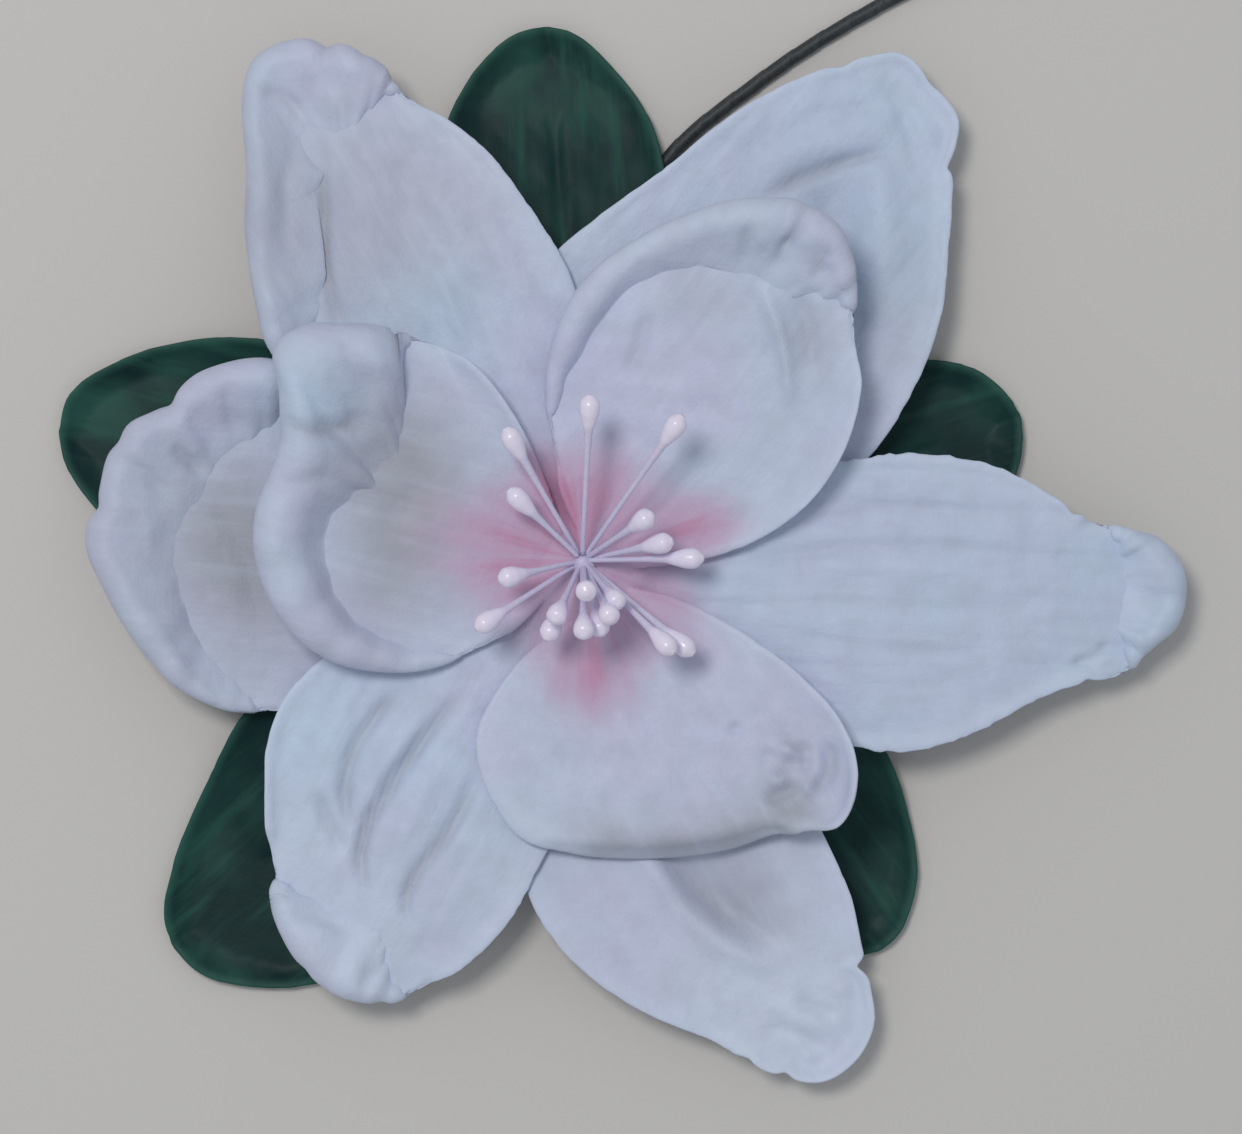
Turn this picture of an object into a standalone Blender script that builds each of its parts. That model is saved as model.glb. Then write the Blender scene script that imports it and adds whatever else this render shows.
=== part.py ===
"""A magnolia flower that lies face up: nine tepals in three whorls, five leaves, a spray of
bead-headed stamens, the receptacle that carries them, and a thin bent stem.

Metres, +Z up. The origin is where the flower's axis meets the surface that it lies on.
Sizes in the tables below are in millimetres and angles in degrees, both turned into metres and
radians where they are used. An azimuth is measured counter-clockwise from +X, seen from above.
"""

import math

import bmesh
import bpy
import numpy as np
from mathutils import Matrix, Vector

MM = 0.001

# Sheets: thickness, steps along the midrib and round the tip, and rings on the flat, the bend and the lip
TEPAL_THICKNESS = 1.0
TEPAL_SPINE_STEPS = 10
TEPAL_FAN_STEPS = 12
TEPAL_RINGS = (2, 6, 2)
LEAF_THICKNESS = 0.8
LEAF_SPINE_STEPS = 6
LEAF_FAN_STEPS = 4
LEAF_RINGS = (1, 2, 1)
RING_EVENNESS = 0.35
EDGE_SAMPLES = 400
LEAST_ROLL = 1
WIDEST_BEND = 0.9
LAID_BACK = (120, 180)
LAID_HEIGHT = 1.9

# Receptacle: radius and height of its turned outline, from its top down to the flat spot it rests on
RECEPTACLE_OUTLINE = [
    (2.6, 13.8),
    (3.3, 13.4),
    (3.6, 11.0),
    (4.1, 9.2),
    (5.0, 7.7),
    (5.9, 6.0),
    (6.1, 3.6),
    (5.4, 1.5),
    (3.2, 0.0),
]
RECEPTACLE_SIDES = 24
MERGE_DISTANCE = 0.01

# Where each whorl is seated on the receptacle: distance from the axis and height
LEAF_SEAT = (6.2, 6.9)
OUTER_SEAT = (4.95, 8.9)
MIDDLE_SEAT = (4.1, 10.8)
INNER_SEAT = (3.8, 12.8)
TEPAL_ROOT_HALF_WIDTH = 3
LEAF_ROOT_HALF_WIDTH = 2.2
ROOT_MARGIN = (8, 6, 1)

# Stem: a bent wire, and the hole in the receptacle's side that it goes into
STEM_RADIUS = 1.0
SOCKET_RADIUS = 1.3
SOCKET_END = 2.4
SOCKET_SIDES = 16
STEM_BEVEL_LEVEL = 2
STEM_POINTS = 36
STEM_ROUTE = [
    (0.3, 2.8, 2.2),
    (0.3, 6.5, 2.2),
    (0.8, 12.0, 1.9),
    (1.8, 22.0, 1.25),
    (4.3, 40.0, 1.05),
    (10.3, 56.4, 1.05),
    (24.3, 68.8, 1.05),
    (40.6, 79.1, 1.05),
    (62.0, 89.0, 1.05),
    (86.0, 97.0, 1.05),
    (108.0, 103.0, 1.05),
]

# Stamens rise from a short core. Each is given by its head's azimuth, distance and height from the core.
CORE_LINE = [(-0.1, 1.2, 14.1), (-0.1, 1.2, 14.8), (-0.3, 2.0, 17.4)]
CORE_RADIUS = 1.5
CORE_SIDES = 10
FILAMENT_RADIUS = 0.36
HEAD_RADIUS = 1.4
HEAD_LENGTH = 4.2
STAMEN_SIDES = 6
STAMEN_ROOT_SPREAD = 0.9
STAMEN_ROOT_DEPTH = 1.0
STAMEN_ROOT_STEP = 0.5
STAMEN_ROOT_LEVELS = 3
STAMEN_RISE = 0.62
STAMEN_BEND = 0.3
# The outline of one stamen: 0 to 1 runs up the filament, 1 to 2 along its head
STAMEN_OUTLINE = [
    (0.0, FILAMENT_RADIUS),
    (0.4, FILAMENT_RADIUS),
    (0.75, FILAMENT_RADIUS),
    (1.0, 0.45),
    (1.25, 0.7 * HEAD_RADIUS),
    (1.6, HEAD_RADIUS),
    (1.85, 0.85 * HEAD_RADIUS),
    (2.0, 0.3 * HEAD_RADIUS),
]
STAMENS = [
    (87, 22.0, 27.0),
    (55, 23.4, 28.0),
    (120, 20.4, 24.0),
    (136, 13.7, 21.0),
    (33, 11.3, 26.0),
    (12, 12.5, 22.5),
    (1, 16.4, 21.0),
    (193, 11.4, 24.0),
    (213, 16.9, 24.0),
    (279, 4.5, 32.0),
    (246, 9.0, 28.0),
    (246, 11.7, 24.0),
    (272, 10.3, 29.0),
    (285, 10.4, 25.5),
    (297, 9.0, 31.0),
    (310, 8.0, 27.5),
    (315, 17.5, 26.0),
    (320, 19.6, 22.5),
]

# Each tepal is a sheet with a midrib along its azimuth.
#   floor    its height at distances from the axis
#   spine    where the midrib ends, and the rings start to fan out round the tip
#   edge     stations round its outline, up the left side to the tip and down the right: distance out,
#            distance to the left, how far the margin is turned up in degrees, the radius of that bend,
#            and how far the sheet goes on past it. A margin turned past half a turn is laid back on its
#            own sheet, however far it has to turn for that.
TEPALS = {
    "outer_tepal_1": dict(
        azimuth=51,
        seat=OUTER_SEAT,
        floor=[(30, 9.2), (60, 8.6), (82, 6.5)],
        spine=66,
        edge=[
            (13, 15, 8, 6, 1),
            (22, 26, 8, 6, 1),
            (31, 30, 8, 6, 1),
            (39, 28.7, 12, 6, 1),
            (49, 26, 24, 6, 1),
            (64, 22.6, 30, 6, 1),
            (73, 18.4, 30, 6, 1),
            (78.6, 14.7, 34, 6, 1),
            (82.5, 10.8, 36, 5, 1),
            (81.9, 5, 34, 5, 1),
            (80.1, -0.6, 34, 5, 1),
            (76.2, -2.8, 30, 5, 1),
            (68.4, -8.2, 26, 6, 1),
            (57.1, -15.3, 26, 6, 1),
            (47.3, -18.3, 20, 6, 1),
            (36.8, -19.2, 10, 6, 1),
            (24, -15, 8, 6, 1),
            (12, -9, 8, 6, 1),
        ],
    ),
    "outer_tepal_2": dict(
        azimuth=175,
        seat=OUTER_SEAT,
        floor=[(25, 9.1), (45, 8.6), (68, 8.0)],
        spine=46,
        edge=[
            (13, 10, 8, 6, 1),
            (26, 18, 8, 8, 1),
            (38, 21.8, 12, 8, 1),
            (42, 22.4, 15, 6, 1),
            (45, 22.7, 60, 2.4, 1),
            (48.5, 22.2, 130, 2.2, 1.4),
            (52, 20.9, 190, 2.6, 2.8),
            (56, 18.4, 190, 3, 4),
            (60.5, 14, 190, 3.2, 4.8),
            (64.7, 8.2, 190, 3.4, 6.4),
            (68.2, -0.4, 190, 3.4, 9.2),
            (67.2, -4, 190, 3.3, 9),
            (65.5, -12.4, 190, 3.3, 10.4),
            (59, -18.2, 190, 3.3, 9.1),
            (54.4, -22.6, 190, 3.3, 9.3),
            (48.5, -25.1, 190, 3.2, 8),
            (45, -25, 190, 2.8, 6.5),
            (43.4, -24.6, 190, 2.4, 4.5),
            (42.2, -24.2, 40, 2, 1),
            (38, -23, 8, 6, 1),
            (24, -16, 8, 6, 1),
            (12, -9, 8, 6, 1),
        ],
    ),
    "outer_tepal_3": dict(
        azimuth=-60,
        seat=OUTER_SEAT,
        floor=[(30, 9.2), (55, 8.0), (77, 5.5)],
        spine=62,
        edge=[
            (14, 9, 8, 6, 1),
            (30, 13, 8, 6, 1),
            (46, 9.8, 15, 5, 1),
            (57, 8.6, 30, 5, 1),
            (64, 6.4, 34, 5, 1),
            (68, 5.2, 38, 4, 1),
            (72.6, 3.4, 44, 4, 1),
            (75.6, -0.5, 50, 4, 1),
            (76.2, -6.2, 50, 4, 1),
            (73, -10.4, 40, 4, 1),
            (69.7, -12.9, 28, 5, 1),
            (65.8, -15, 22, 5, 1),
            (56, -22.2, 22, 5, 1),
            (45, -27.1, 15, 5, 1),
            (36, -28, 8, 6, 1),
            (25, -24, 8, 6, 1),
            (14, -14, 8, 6, 1),
        ],
    ),
    "middle_tepal_1": dict(
        azimuth=-3,
        seat=MIDDLE_SEAT,
        floor=[(30, 11.6), (55, 10.6), (82, 6.5)],
        spine=66,
        edge=[
            (14, 9.5, 8, 6, 1),
            (33, 16.2, 8, 8, 1),
            (45, 18.2, 12, 8, 1),
            (56, 16.7, 18, 6, 1),
            (62, 14.2, 25, 5, 1),
            (67.1, 11.4, 35, 4, 1),
            (69.5, 10.9, 40, 2, 1),
            (71.6, 10.4, 110, 1.4, 0.8),
            (73.6, 9.9, 190, 1.4, 1.2),
            (77.2, 9.4, 190, 1.7, 3.4),
            (80.6, 6.6, 190, 1.7, 6),
            (82.3, 1, 190, 1.7, 7),
            (81.2, -2.8, 190, 1.7, 6.2),
            (78.4, -5.4, 190, 1.7, 4.4),
            (76.5, -7.4, 190, 1.6, 1.8),
            (75.2, -9.4, 60, 1.8, 1),
            (73.6, -10.2, 35, 3, 1),
            (69, -10.5, 30, 4, 1),
            (62, -13.4, 20, 6, 1),
            (55, -17.6, 15, 6, 1),
            (44, -21.1, 12, 8, 1),
            (30, -18.5, 8, 8, 1),
            (14, -10, 8, 6, 1),
        ],
    ),
    "middle_tepal_2": dict(
        azimuth=121,
        seat=MIDDLE_SEAT,
        floor=[(30, 11.6), (46, 11.8), (60, 11.0), (82, 8.5)],
        spine=64,
        edge=[
            (14, 10, 8, 6, 1),
            (24, 13, 8, 6, 1),
            (33, 14.6, 8, 6, 1),
            (40, 16.6, 12, 5, 1),
            (44, 19, 60, 2, 1),
            (46.6, 20.6, 190, 2, 3.6),
            (50.5, 20.3, 190, 2.5, 5.4),
            (53.7, 19.4, 190, 3, 6.4),
            (61.8, 16.1, 190, 3, 6.6),
            (70.9, 10.8, 190, 2.8, 6.4),
            (79.4, 6.4, 190, 2.2, 8),
            (83.4, 3, 190, 2, 10.5),
            (83.7, -1, 190, 2, 11.6),
            (82, -5.5, 190, 2, 11.6),
            (79.4, -8.6, 190, 2, 10.4),
            (75.6, -11, 190, 1.9, 8.2),
            (73, -12, 190, 1.7, 5),
            (71.6, -11.7, 60, 1.6, 1),
            (69, -12.7, 40, 3, 1),
            (64, -14.9, 26, 5, 1),
            (57, -17.4, 22, 5, 1),
            (48, -18.5, 15, 5, 1),
            (37, -18.6, 8, 6, 1),
            (24, -15, 8, 6, 1),
            (12, -9, 8, 6, 1),
        ],
    ),
    "middle_tepal_3": dict(
        azimuth=-117,
        seat=MIDDLE_SEAT,
        floor=[(25, 11.4), (45, 10.4), (65, 8.0)],
        spine=48,
        edge=[
            (12, 8, 8, 6, 1),
            (24, 11, 8, 6, 1),
            (38, 11.6, 10, 6, 1),
            (47, 11.4, 20, 6, 1),
            (56, 8.4, 25, 5, 1),
            (62, 4.8, 34, 4, 1),
            (64.2, 2.6, 50, 2, 1),
            (65.4, 0.4, 190, 1.7, 5),
            (66.3, -3, 190, 1.8, 7.6),
            (66.1, -6.4, 190, 1.8, 9),
            (64, -12, 190, 1.8, 8),
            (60.2, -17, 190, 1.7, 5),
            (57.6, -18.6, 190, 1.5, 2),
            (56.4, -18.9, 55, 2, 1),
            (54.3, -20.3, 45, 4, 1),
            (47, -24.4, 44, 5, 1),
            (41, -27.1, 36, 5, 1),
            (34, -28, 25, 6, 1),
            (23, -24, 8, 6, 1),
            (12, -13, 8, 6, 1),
        ],
    ),
    "inner_tepal_1": dict(
        azimuth=53,
        seat=INNER_SEAT,
        floor=[(12, 13.4), (28, 15.5), (42, 18.2), (57, 21.0)],
        spine=32,
        edge=[
            (7, 8.5, 20, 5, 1),
            (11, 13.4, 40, 3, 1),
            (15, 17.4, 80, 2.4, 1),
            (19.5, 20.6, 140, 2.3, 1.2),
            (24.5, 22.7, 190, 2.4, 1.9),
            (34.5, 23.2, 190, 2.4, 1.9),
            (40, 21.4, 190, 2.7, 2.3),
            (46.2, 18.2, 190, 2.8, 3.2),
            (53.2, 12.6, 190, 2.6, 7.6),
            (57.2, 6.4, 190, 2.5, 9.6),
            (57.3, 0.6, 190, 2.5, 8.2),
            (54.4, -4, 190, 2.4, 3.4),
            (52.4, -5.8, 60, 2.4, 1),
            (50.4, -7.3, 45, 5, 1),
            (43.1, -13.1, 40, 8, 1),
            (34, -17.2, 42, 9, 1),
            (26, -17.6, 40, 10, 1),
            (16, -14, 20, 10, 1),
            (8, -7.5, 8, 6, 1),
        ],
    ),
    "inner_tepal_2": dict(
        azimuth=165,
        seat=INNER_SEAT,
        floor=[(12, 13.4), (26, 15.0), (48, 17.6)],
        spine=22,
        edge=[
            (7.5, 9, 15, 8, 1),
            (14, 15.3, 30, 5, 1),
            (19, 18.2, 60, 3, 1),
            (24, 19.5, 120, 2.2, 1.2),
            (29, 19.8, 190, 2.3, 2),
            (36, 17.2, 190, 3, 3.2),
            (40.4, 13.1, 190, 3.4, 4.4),
            (43.4, 7.9, 190, 3.6, 4.8),
            (44.4, 2.7, 190, 3.8, 5.2),
            (43.6, -4.8, 190, 4, 7.4),
            (45.2, -12.7, 190, 4, 13.2),
            (47.4, -19, 190, 4, 18),
            (44.6, -22.3, 190, 4, 18),
            (40, -24, 190, 4, 15.6),
            (36.6, -24.8, 190, 3.9, 12.2),
            (34.4, -25, 190, 3.6, 9.6),
            (33.2, -25, 60, 2.4, 1),
            (30, -25, 50, 4, 1),
            (23, -23.4, 46, 7, 1),
            (14.5, -17.4, 40, 8, 1),
            (8, -9.5, 15, 8, 1),
        ],
    ),
    "inner_tepal_3": dict(
        azimuth=-58,
        seat=INNER_SEAT,
        floor=[(14, 13.4), (30, 14.2), (45, 15.6)],
        spine=26,
        edge=[
            (9, 8, 12, 8, 1),
            (18, 13.3, 20, 8, 1),
            (27, 16.8, 30, 8, 1),
            (35, 18.3, 45, 6, 1),
            (39.6, 17.4, 60, 4, 1.5),
            (43.6, 15.2, 75, 3.5, 2),
            (46.2, 10.6, 60, 3, 1.5),
            (44.6, 7, 10, 3, 1),
            (42, 3.6, -45, 1.6, 3),
            (40, -3, -56, 1.5, 4),
            (37, -9.6, -56, 1.5, 4),
            (33.6, -15.4, -52, 1.5, 3.6),
            (29.6, -21, -35, 2, 2.4),
            (26.6, -24.5, -15, 3, 1.5),
            (19, -26, -8, 6, 1),
            (11, -23.3, 8, 6, 1),
            (6, -15, 8, 6, 1),
        ],
    ),
}

# How far a leaf's margins are turned up at distances from the axis, and with what radius and lip
LEAF_ROLL = [(6.2, 3), (26, 8), (44, 26), (76, 30)]
LEAF_BEND = 12
LEAF_LIP = 0.8
LEAF_FLOOR = [(30, 5.6), (46, 3.4), (56, 1.3), (62, 0.2), (72, 0.0)]

# Leaves: azimuth, how far the floor's heights above are stretched along it, and the outline as for a tepal
LEAVES = {
    "leaf_1": dict(
        azimuth=20,
        stretch=0.84,
        spine=54,
        outline=[
            (16, 6.5), (30, 12), (44, 13.5), (54.5, 11.4), (60.5, 7.6), (63.6, 0.5),
            (60.5, -7), (54, -11), (44, -13), (30, -12), (16, -6.5),
        ],
    ),
    "leaf_2": dict(
        azimuth=94,
        stretch=1.06,
        spine=67,
        outline=[
            (16, 6.5), (34, 13), (50, 15.8), (63, 14.6), (71, 9.6), (75.3, 3.5), (75, -2.5),
            (70.5, -7.6), (62, -12.9), (52, -14.4), (34, -12.5), (16, -6.5),
        ],
    ),
    "leaf_3": dict(
        azimuth=165,
        stretch=1.0,
        spine=64,
        outline=[
            (16, 6.5), (34, 12), (50, 13.5), (60, 11.8), (68, 8), (74, 2.4), (75.4, -4.6),
            (70, -11.4), (60, -17.2), (48, -19.6), (34, -16.5), (16, -6.5),
        ],
    ),
    "leaf_4": dict(
        azimuth=-138,
        stretch=1.0,
        spine=64,
        outline=[
            (16, 6.5), (34, 14.5), (50, 18.4), (63, 17.8), (71.5, 12), (76.5, 4), (75.5, -2.5),
            (69, -8), (58, -13.2), (46, -17), (32, -14), (16, -6.5),
        ],
    ),
    "leaf_5": dict(
        azimuth=-52,
        stretch=0.88,
        spine=56,
        outline=[
            (16, 6.5), (30, 14), (43.5, 17.2), (53, 14.6), (61.5, 9.6), (65.8, 2),
            (62, -6), (54, -11), (44, -14), (30, -12), (16, -6.5),
        ],
    ),
}


def smooth(share):
    """A share between 0 and 1, eased in and out."""
    share = np.clip(share, 0, 1)
    return share * share * (3 - 2 * share)


def through(places, values, wanted):
    """A smooth curve through values at increasing places, read at the wanted places."""
    places, values, wanted = (np.asarray(column, float) for column in (places, values, wanted))
    slopes = np.gradient(values, places)
    i = np.clip(np.searchsorted(places, wanted) - 1, 0, len(places) - 2)
    span = places[i + 1] - places[i]
    t = np.clip((wanted - places[i]) / span, 0, 1)
    return (
        values[i] * (2 * t**3 - 3 * t**2 + 1)
        + slopes[i] * span * (t**3 - 2 * t**2 + t)
        + values[i + 1] * (3 * t**2 - 2 * t**3)
        + slopes[i + 1] * span * (t**3 - t**2)
    )


def eased(places, values, wanted):
    """Values at increasing places, read at the wanted places, easing from each to the next."""
    i = np.clip(np.searchsorted(places, wanted) - 1, 0, len(places) - 2)
    share = smooth((wanted - places[i]) / (places[i + 1] - places[i]))
    return values[i] + (values[i + 1] - values[i]) * share


def distances_along(points):
    """How far along a line each of its points is."""
    steps = np.linalg.norm(np.diff(points, axis=0), axis=1)
    return np.concatenate([[0], np.cumsum(steps)])


def stations(sheet):
    """The edge's stations, with one at each end of the root."""
    out, half_width = sheet["seat"][0], sheet["root_half_width"]
    root = [(out, side * half_width, *ROOT_MARGIN) for side in (1, -1)]
    return np.array([root[0], *sheet["edge"], root[1]], float)


def edge_samples(sheet, spine_steps, fan_steps):
    """The edge's stations resampled: up the left side, round the tip and down the right side."""
    edge = stations(sheet)
    walked = distances_along(edge[:, :2])
    fine = np.linspace(0, walked[-1], EDGE_SAMPLES)
    out = through(walked, edge[:, 0], fine)
    tip = int(np.argmax(out))
    fan_from = np.interp(sheet["spine"], np.maximum.accumulate(out[:tip]), fine[:tip])
    fan_to = np.interp(sheet["spine"], np.maximum.accumulate(out[:tip:-1]), fine[:tip:-1])
    wanted = np.concatenate([
        np.linspace(0, fan_from, spine_steps + 1),
        np.linspace(fan_from, fan_to, fan_steps + 1)[1:-1],
        np.linspace(fan_to, walked[-1], spine_steps + 1),
    ])
    outline = [through(walked, column, wanted) for column in edge[:, :2].T]
    margin = [eased(walked, column, wanted) for column in edge[:, 2:].T]
    return np.stack(outline + margin, 1)


def spine_feet(sheet, edge, spine_steps):
    """The midrib's points, as distances from the axis: each lies between its two edge samples."""
    left, right = edge[: spine_steps + 1, 0], edge[::-1][: spine_steps + 1, 0]
    feet = np.clip((left + right) / 2, edge[0, 0], sheet["spine"])
    feet[0], feet[-1] = edge[0, 0], sheet["spine"]
    return feet


def laid_back(roll, bend, lip):
    """How far a margin turns in radians, where one past half a turn comes down to its own sheet again."""
    share = smooth((abs(roll) - LAID_BACK[0]) / (LAID_BACK[1] - LAID_BACK[0]))
    arm = math.hypot(bend, lip)
    down = math.pi + math.atan2(bend, lip) + math.asin(np.clip((bend - LAID_HEIGHT) / arm, -1, 1))
    turn = math.radians(max(abs(roll), LEAST_ROLL))
    return turn + (down - turn) * share


def margin_path(reach, roll, bend, lip, rings):
    """A ring line's outward and upward distances: flat, then round the margin's bend, then its lip."""
    turn = laid_back(roll, bend, lip)
    widest = math.sin(min(turn, math.pi / 2))
    bend = min(bend, WIDEST_BEND * reach / widest)
    flat = reach - bend * widest
    marks = np.cumsum([0, flat, bend * turn, lip])
    parts = [np.linspace(marks[i], marks[i + 1], rings[i] + 1)[1:] for i in range(3)]
    aligned = np.concatenate(parts)
    evenly = np.linspace(0, marks[3], sum(rings) + 1)[1:]
    walked = aligned + RING_EVENNESS * (evenly - aligned)
    angle = np.clip((walked - flat) / bend, 0, turn)
    past = np.maximum(walked - marks[2], 0)
    outward = np.minimum(walked, flat) + bend * np.sin(angle) + past * math.cos(turn)
    upward = bend * (1 - np.cos(angle)) + past * math.sin(turn)
    return outward, math.copysign(1, roll) * upward


def stand(sheet, points):
    """Lifts a sheet's points onto its floor and turns them to its azimuth."""
    azimuth = math.radians(sheet["azimuth"])
    out, left = points[..., 0], points[..., 1]
    x = out * math.cos(azimuth) - left * math.sin(azimuth)
    y = out * math.sin(azimuth) + left * math.cos(azimuth)
    return np.stack([x, y, points[..., 2] + through(*zip(sheet["seat"], *sheet["floor"]), out)], -1)


def sheet_points(sheet, steps, rings):
    """A sheet's middle surface: the midrib, a row of points for each edge sample, and each row's foot."""
    spine_steps, fan_steps = steps
    edge = edge_samples(sheet, spine_steps, fan_steps)
    feet = spine_feet(sheet, edge, spine_steps)
    up = list(range(spine_steps))
    foot_of = up + [spine_steps] * (fan_steps + 1) + up[::-1]
    rows = np.empty((len(edge), sum(rings), 3))
    for row, (out, left, roll, bend, lip), foot in zip(rows, edge, feet[foot_of]):
        reach = math.hypot(out - foot, left)
        outward, upward = margin_path(reach, roll, bend, lip, rings)
        row[:, 0] = foot + outward * (out - foot) / reach
        row[:, 1] = outward * left / reach
        row[:, 2] = upward
    midrib = np.stack([feet, np.zeros_like(feet), np.zeros_like(feet)], 1)
    return stand(sheet, midrib), stand(sheet, rows), foot_of


def grid_triangles(index):
    """The triangles of a grid of point numbers, without those that a shared foot closes up."""
    a, b = index[:-1, :-1].ravel(), index[:-1, 1:].ravel()
    c, d = index[1:, 1:].ravel(), index[1:, :-1].ravel()
    made = np.concatenate([np.stack([a, c, b], 1), np.stack([a, d, c], 1)])
    return made[(made[:, 0] != made[:, 1]) & (made[:, 0] != made[:, 2]) & (made[:, 1] != made[:, 2])]


def point_normals(points, triangles):
    """The unit normal at each point."""
    corners = points[triangles]
    facing = np.cross(corners[:, 1] - corners[:, 0], corners[:, 2] - corners[:, 0])
    normals = np.zeros_like(points)
    for corner in range(3):
        np.add.at(normals, triangles[:, corner], facing)
    return normals / np.linalg.norm(normals, axis=1, keepdims=True)


def sheet_mesh(name, sheet, steps, rings, thickness):
    """A closed sheet of that thickness, split alike on both faces, that stays above the surface."""
    midrib, rows, foot_of = sheet_points(sheet, steps, rings)
    points = np.concatenate([midrib, rows.reshape(-1, 3)])
    points[:, 2] = np.maximum(points[:, 2], thickness / 2)
    count = len(points)
    numbers = len(midrib) + np.arange(count - len(midrib)).reshape(rows.shape[:2])
    index = np.column_stack([foot_of, numbers])
    upper = grid_triangles(index)
    offset = point_normals(points, upper) * thickness / 2
    skins = np.concatenate([points + offset, points - offset])
    skins[:, 2] = np.maximum(skins[:, 2], 0)
    rim = np.concatenate([index[0, :-1], index[:-1, -1], index[-1, :0:-1]])
    after = np.roll(rim, -1)
    side_a = np.stack([rim, after, after + count], 1)
    side_b = np.stack([rim, after + count, rim + count], 1)
    faces = np.concatenate([upper, upper[:, ::-1] + count, side_a, side_b])
    mesh = bpy.data.meshes.new(name)
    mesh.from_pydata((skins * MM).tolist(), [], faces.tolist())
    return mesh


def leaf_sheet(leaf):
    """A leaf as a sheet: it leaves the receptacle nearly level and comes down to lie on the surface."""
    start, stretch = LEAF_SEAT[0], leaf["stretch"]
    floor = [(start + (out - start) * stretch, height) for out, height in LEAF_FLOOR]
    rolls = [float(through(*zip(*LEAF_ROLL), out)) for out, left in leaf["outline"]]
    edge = [(out, left, roll, LEAF_BEND, LEAF_LIP) for (out, left), roll in zip(leaf["outline"], rolls)]
    return dict(leaf, seat=LEAF_SEAT, root_half_width=LEAF_ROOT_HALF_WIDTH, floor=floor, edge=edge)


def material(name, colour, roughness):
    """A plain finish."""
    made = bpy.data.materials.new(name)
    made.use_nodes = True
    shader = made.node_tree.nodes["Principled BSDF"]
    shader.inputs["Base Color"].default_value = (*colour, 1)
    shader.inputs["Roughness"].default_value = roughness
    shader.inputs["Metallic"].default_value = 0
    return made


def tepal_white():
    """Matte white foam sheet with a cool cast."""
    return material("tepal_white", (0.80, 0.83, 0.90), 0.6)


def leaf_green():
    """Dark bluish green paint with a satin gloss."""
    return material("leaf_green", (0.02, 0.07, 0.05), 0.4)


def receptacle_pink():
    """Soft pink at the flower's throat."""
    return material("receptacle_pink", (0.70, 0.35, 0.45), 0.6)


def stem_tape():
    """Near-black florist's tape."""
    return material("stem_tape", (0.03, 0.04, 0.045), 0.6)


def stamen_pearl():
    """Pale lilac pearl."""
    return material("stamen_pearl", (0.85, 0.78, 0.86), 0.35)


def place(name, data, finish):
    """Adds an object to the scene with its finish."""
    made = bpy.data.objects.new(name, data)
    data.materials.append(finish)
    bpy.context.scene.collection.objects.link(made)
    if made.type == "MESH":
        data.shade_smooth()
    return made


def tepals():
    """The nine tepals, each a sheet of its own."""
    finish = tepal_white()
    steps = (TEPAL_SPINE_STEPS, TEPAL_FAN_STEPS)
    for name, tepal in TEPALS.items():
        sheet = dict(tepal, root_half_width=TEPAL_ROOT_HALF_WIDTH)
        place(name, sheet_mesh(name, sheet, steps, TEPAL_RINGS, TEPAL_THICKNESS), finish)


def leaves():
    """The five leaves under the tepals."""
    finish = leaf_green()
    steps = (LEAF_SPINE_STEPS, LEAF_FAN_STEPS)
    for name, leaf in LEAVES.items():
        place(name, sheet_mesh(name, leaf_sheet(leaf), steps, LEAF_RINGS, LEAF_THICKNESS), finish)


def stem_hole():
    """The cutter for the stem's hole: a cylinder along Y that starts inside the receptacle."""
    depth = 2 * max(radius for radius, height in RECEPTACLE_OUTLINE)
    radius = SOCKET_RADIUS * MM
    hole = bmesh.new()
    bmesh.ops.create_cone(
        hole, cap_ends=True, segments=SOCKET_SIDES, radius1=radius, radius2=radius, depth=depth * MM
    )
    bmesh.ops.rotate(hole, matrix=Matrix.Rotation(math.radians(90), 3, "X"), verts=hole.verts)
    mesh = bpy.data.meshes.new("stem_hole")
    hole.to_mesh(mesh)
    hole.free()
    cutter = bpy.data.objects.new("stem_hole", mesh)
    cutter.location = Vector((STEM_ROUTE[0][0], SOCKET_END + depth / 2, STEM_ROUTE[0][2])) * MM
    cutter.hide_render = True
    cutter.display_type = "WIRE"
    bpy.context.scene.collection.objects.link(cutter)
    return cutter


def receptacle():
    """The turned body that carries the whorls, with the stem's hole in its side."""
    outline = [(0, RECEPTACLE_OUTLINE[0][1]), *RECEPTACLE_OUTLINE, (0, 0)]
    profile = [(radius * MM, 0, height * MM) for radius, height in outline]
    mesh = bpy.data.meshes.new("receptacle")
    mesh.from_pydata(profile, [(i, i + 1) for i in range(len(profile) - 1)], [])
    body = place("receptacle", mesh, receptacle_pink())
    turn = body.modifiers.new("turn", "SCREW")
    turn.steps = RECEPTACLE_SIDES
    turn.render_steps = RECEPTACLE_SIDES
    turn.use_merge_vertices = True
    turn.merge_threshold = MERGE_DISTANCE * MM
    turn.use_smooth_shade = True
    cut = body.modifiers.new("stem_hole", "BOOLEAN")
    cut.operation = "DIFFERENCE"
    cut.solver = "EXACT"
    cut.object = stem_hole()


def stem():
    """The bent wire, as a bevelled curve with closed ends."""
    route = np.array(STEM_ROUTE, float)
    walked = distances_along(route)
    wanted = np.linspace(0, walked[-1], STEM_POINTS)
    points = np.stack([through(walked, column, wanted) for column in route.T], 1) * MM
    curve = bpy.data.curves.new("stem", "CURVE")
    curve.dimensions = "3D"
    curve.bevel_depth = STEM_RADIUS * MM
    curve.bevel_resolution = STEM_BEVEL_LEVEL
    curve.use_fill_caps = True
    spline = curve.splines.new("POLY")
    spline.points.add(len(points) - 1)
    for knot, point in zip(spline.points, points):
        knot.co = (*point, 1)
    place("stem", curve, stem_tape())


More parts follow.
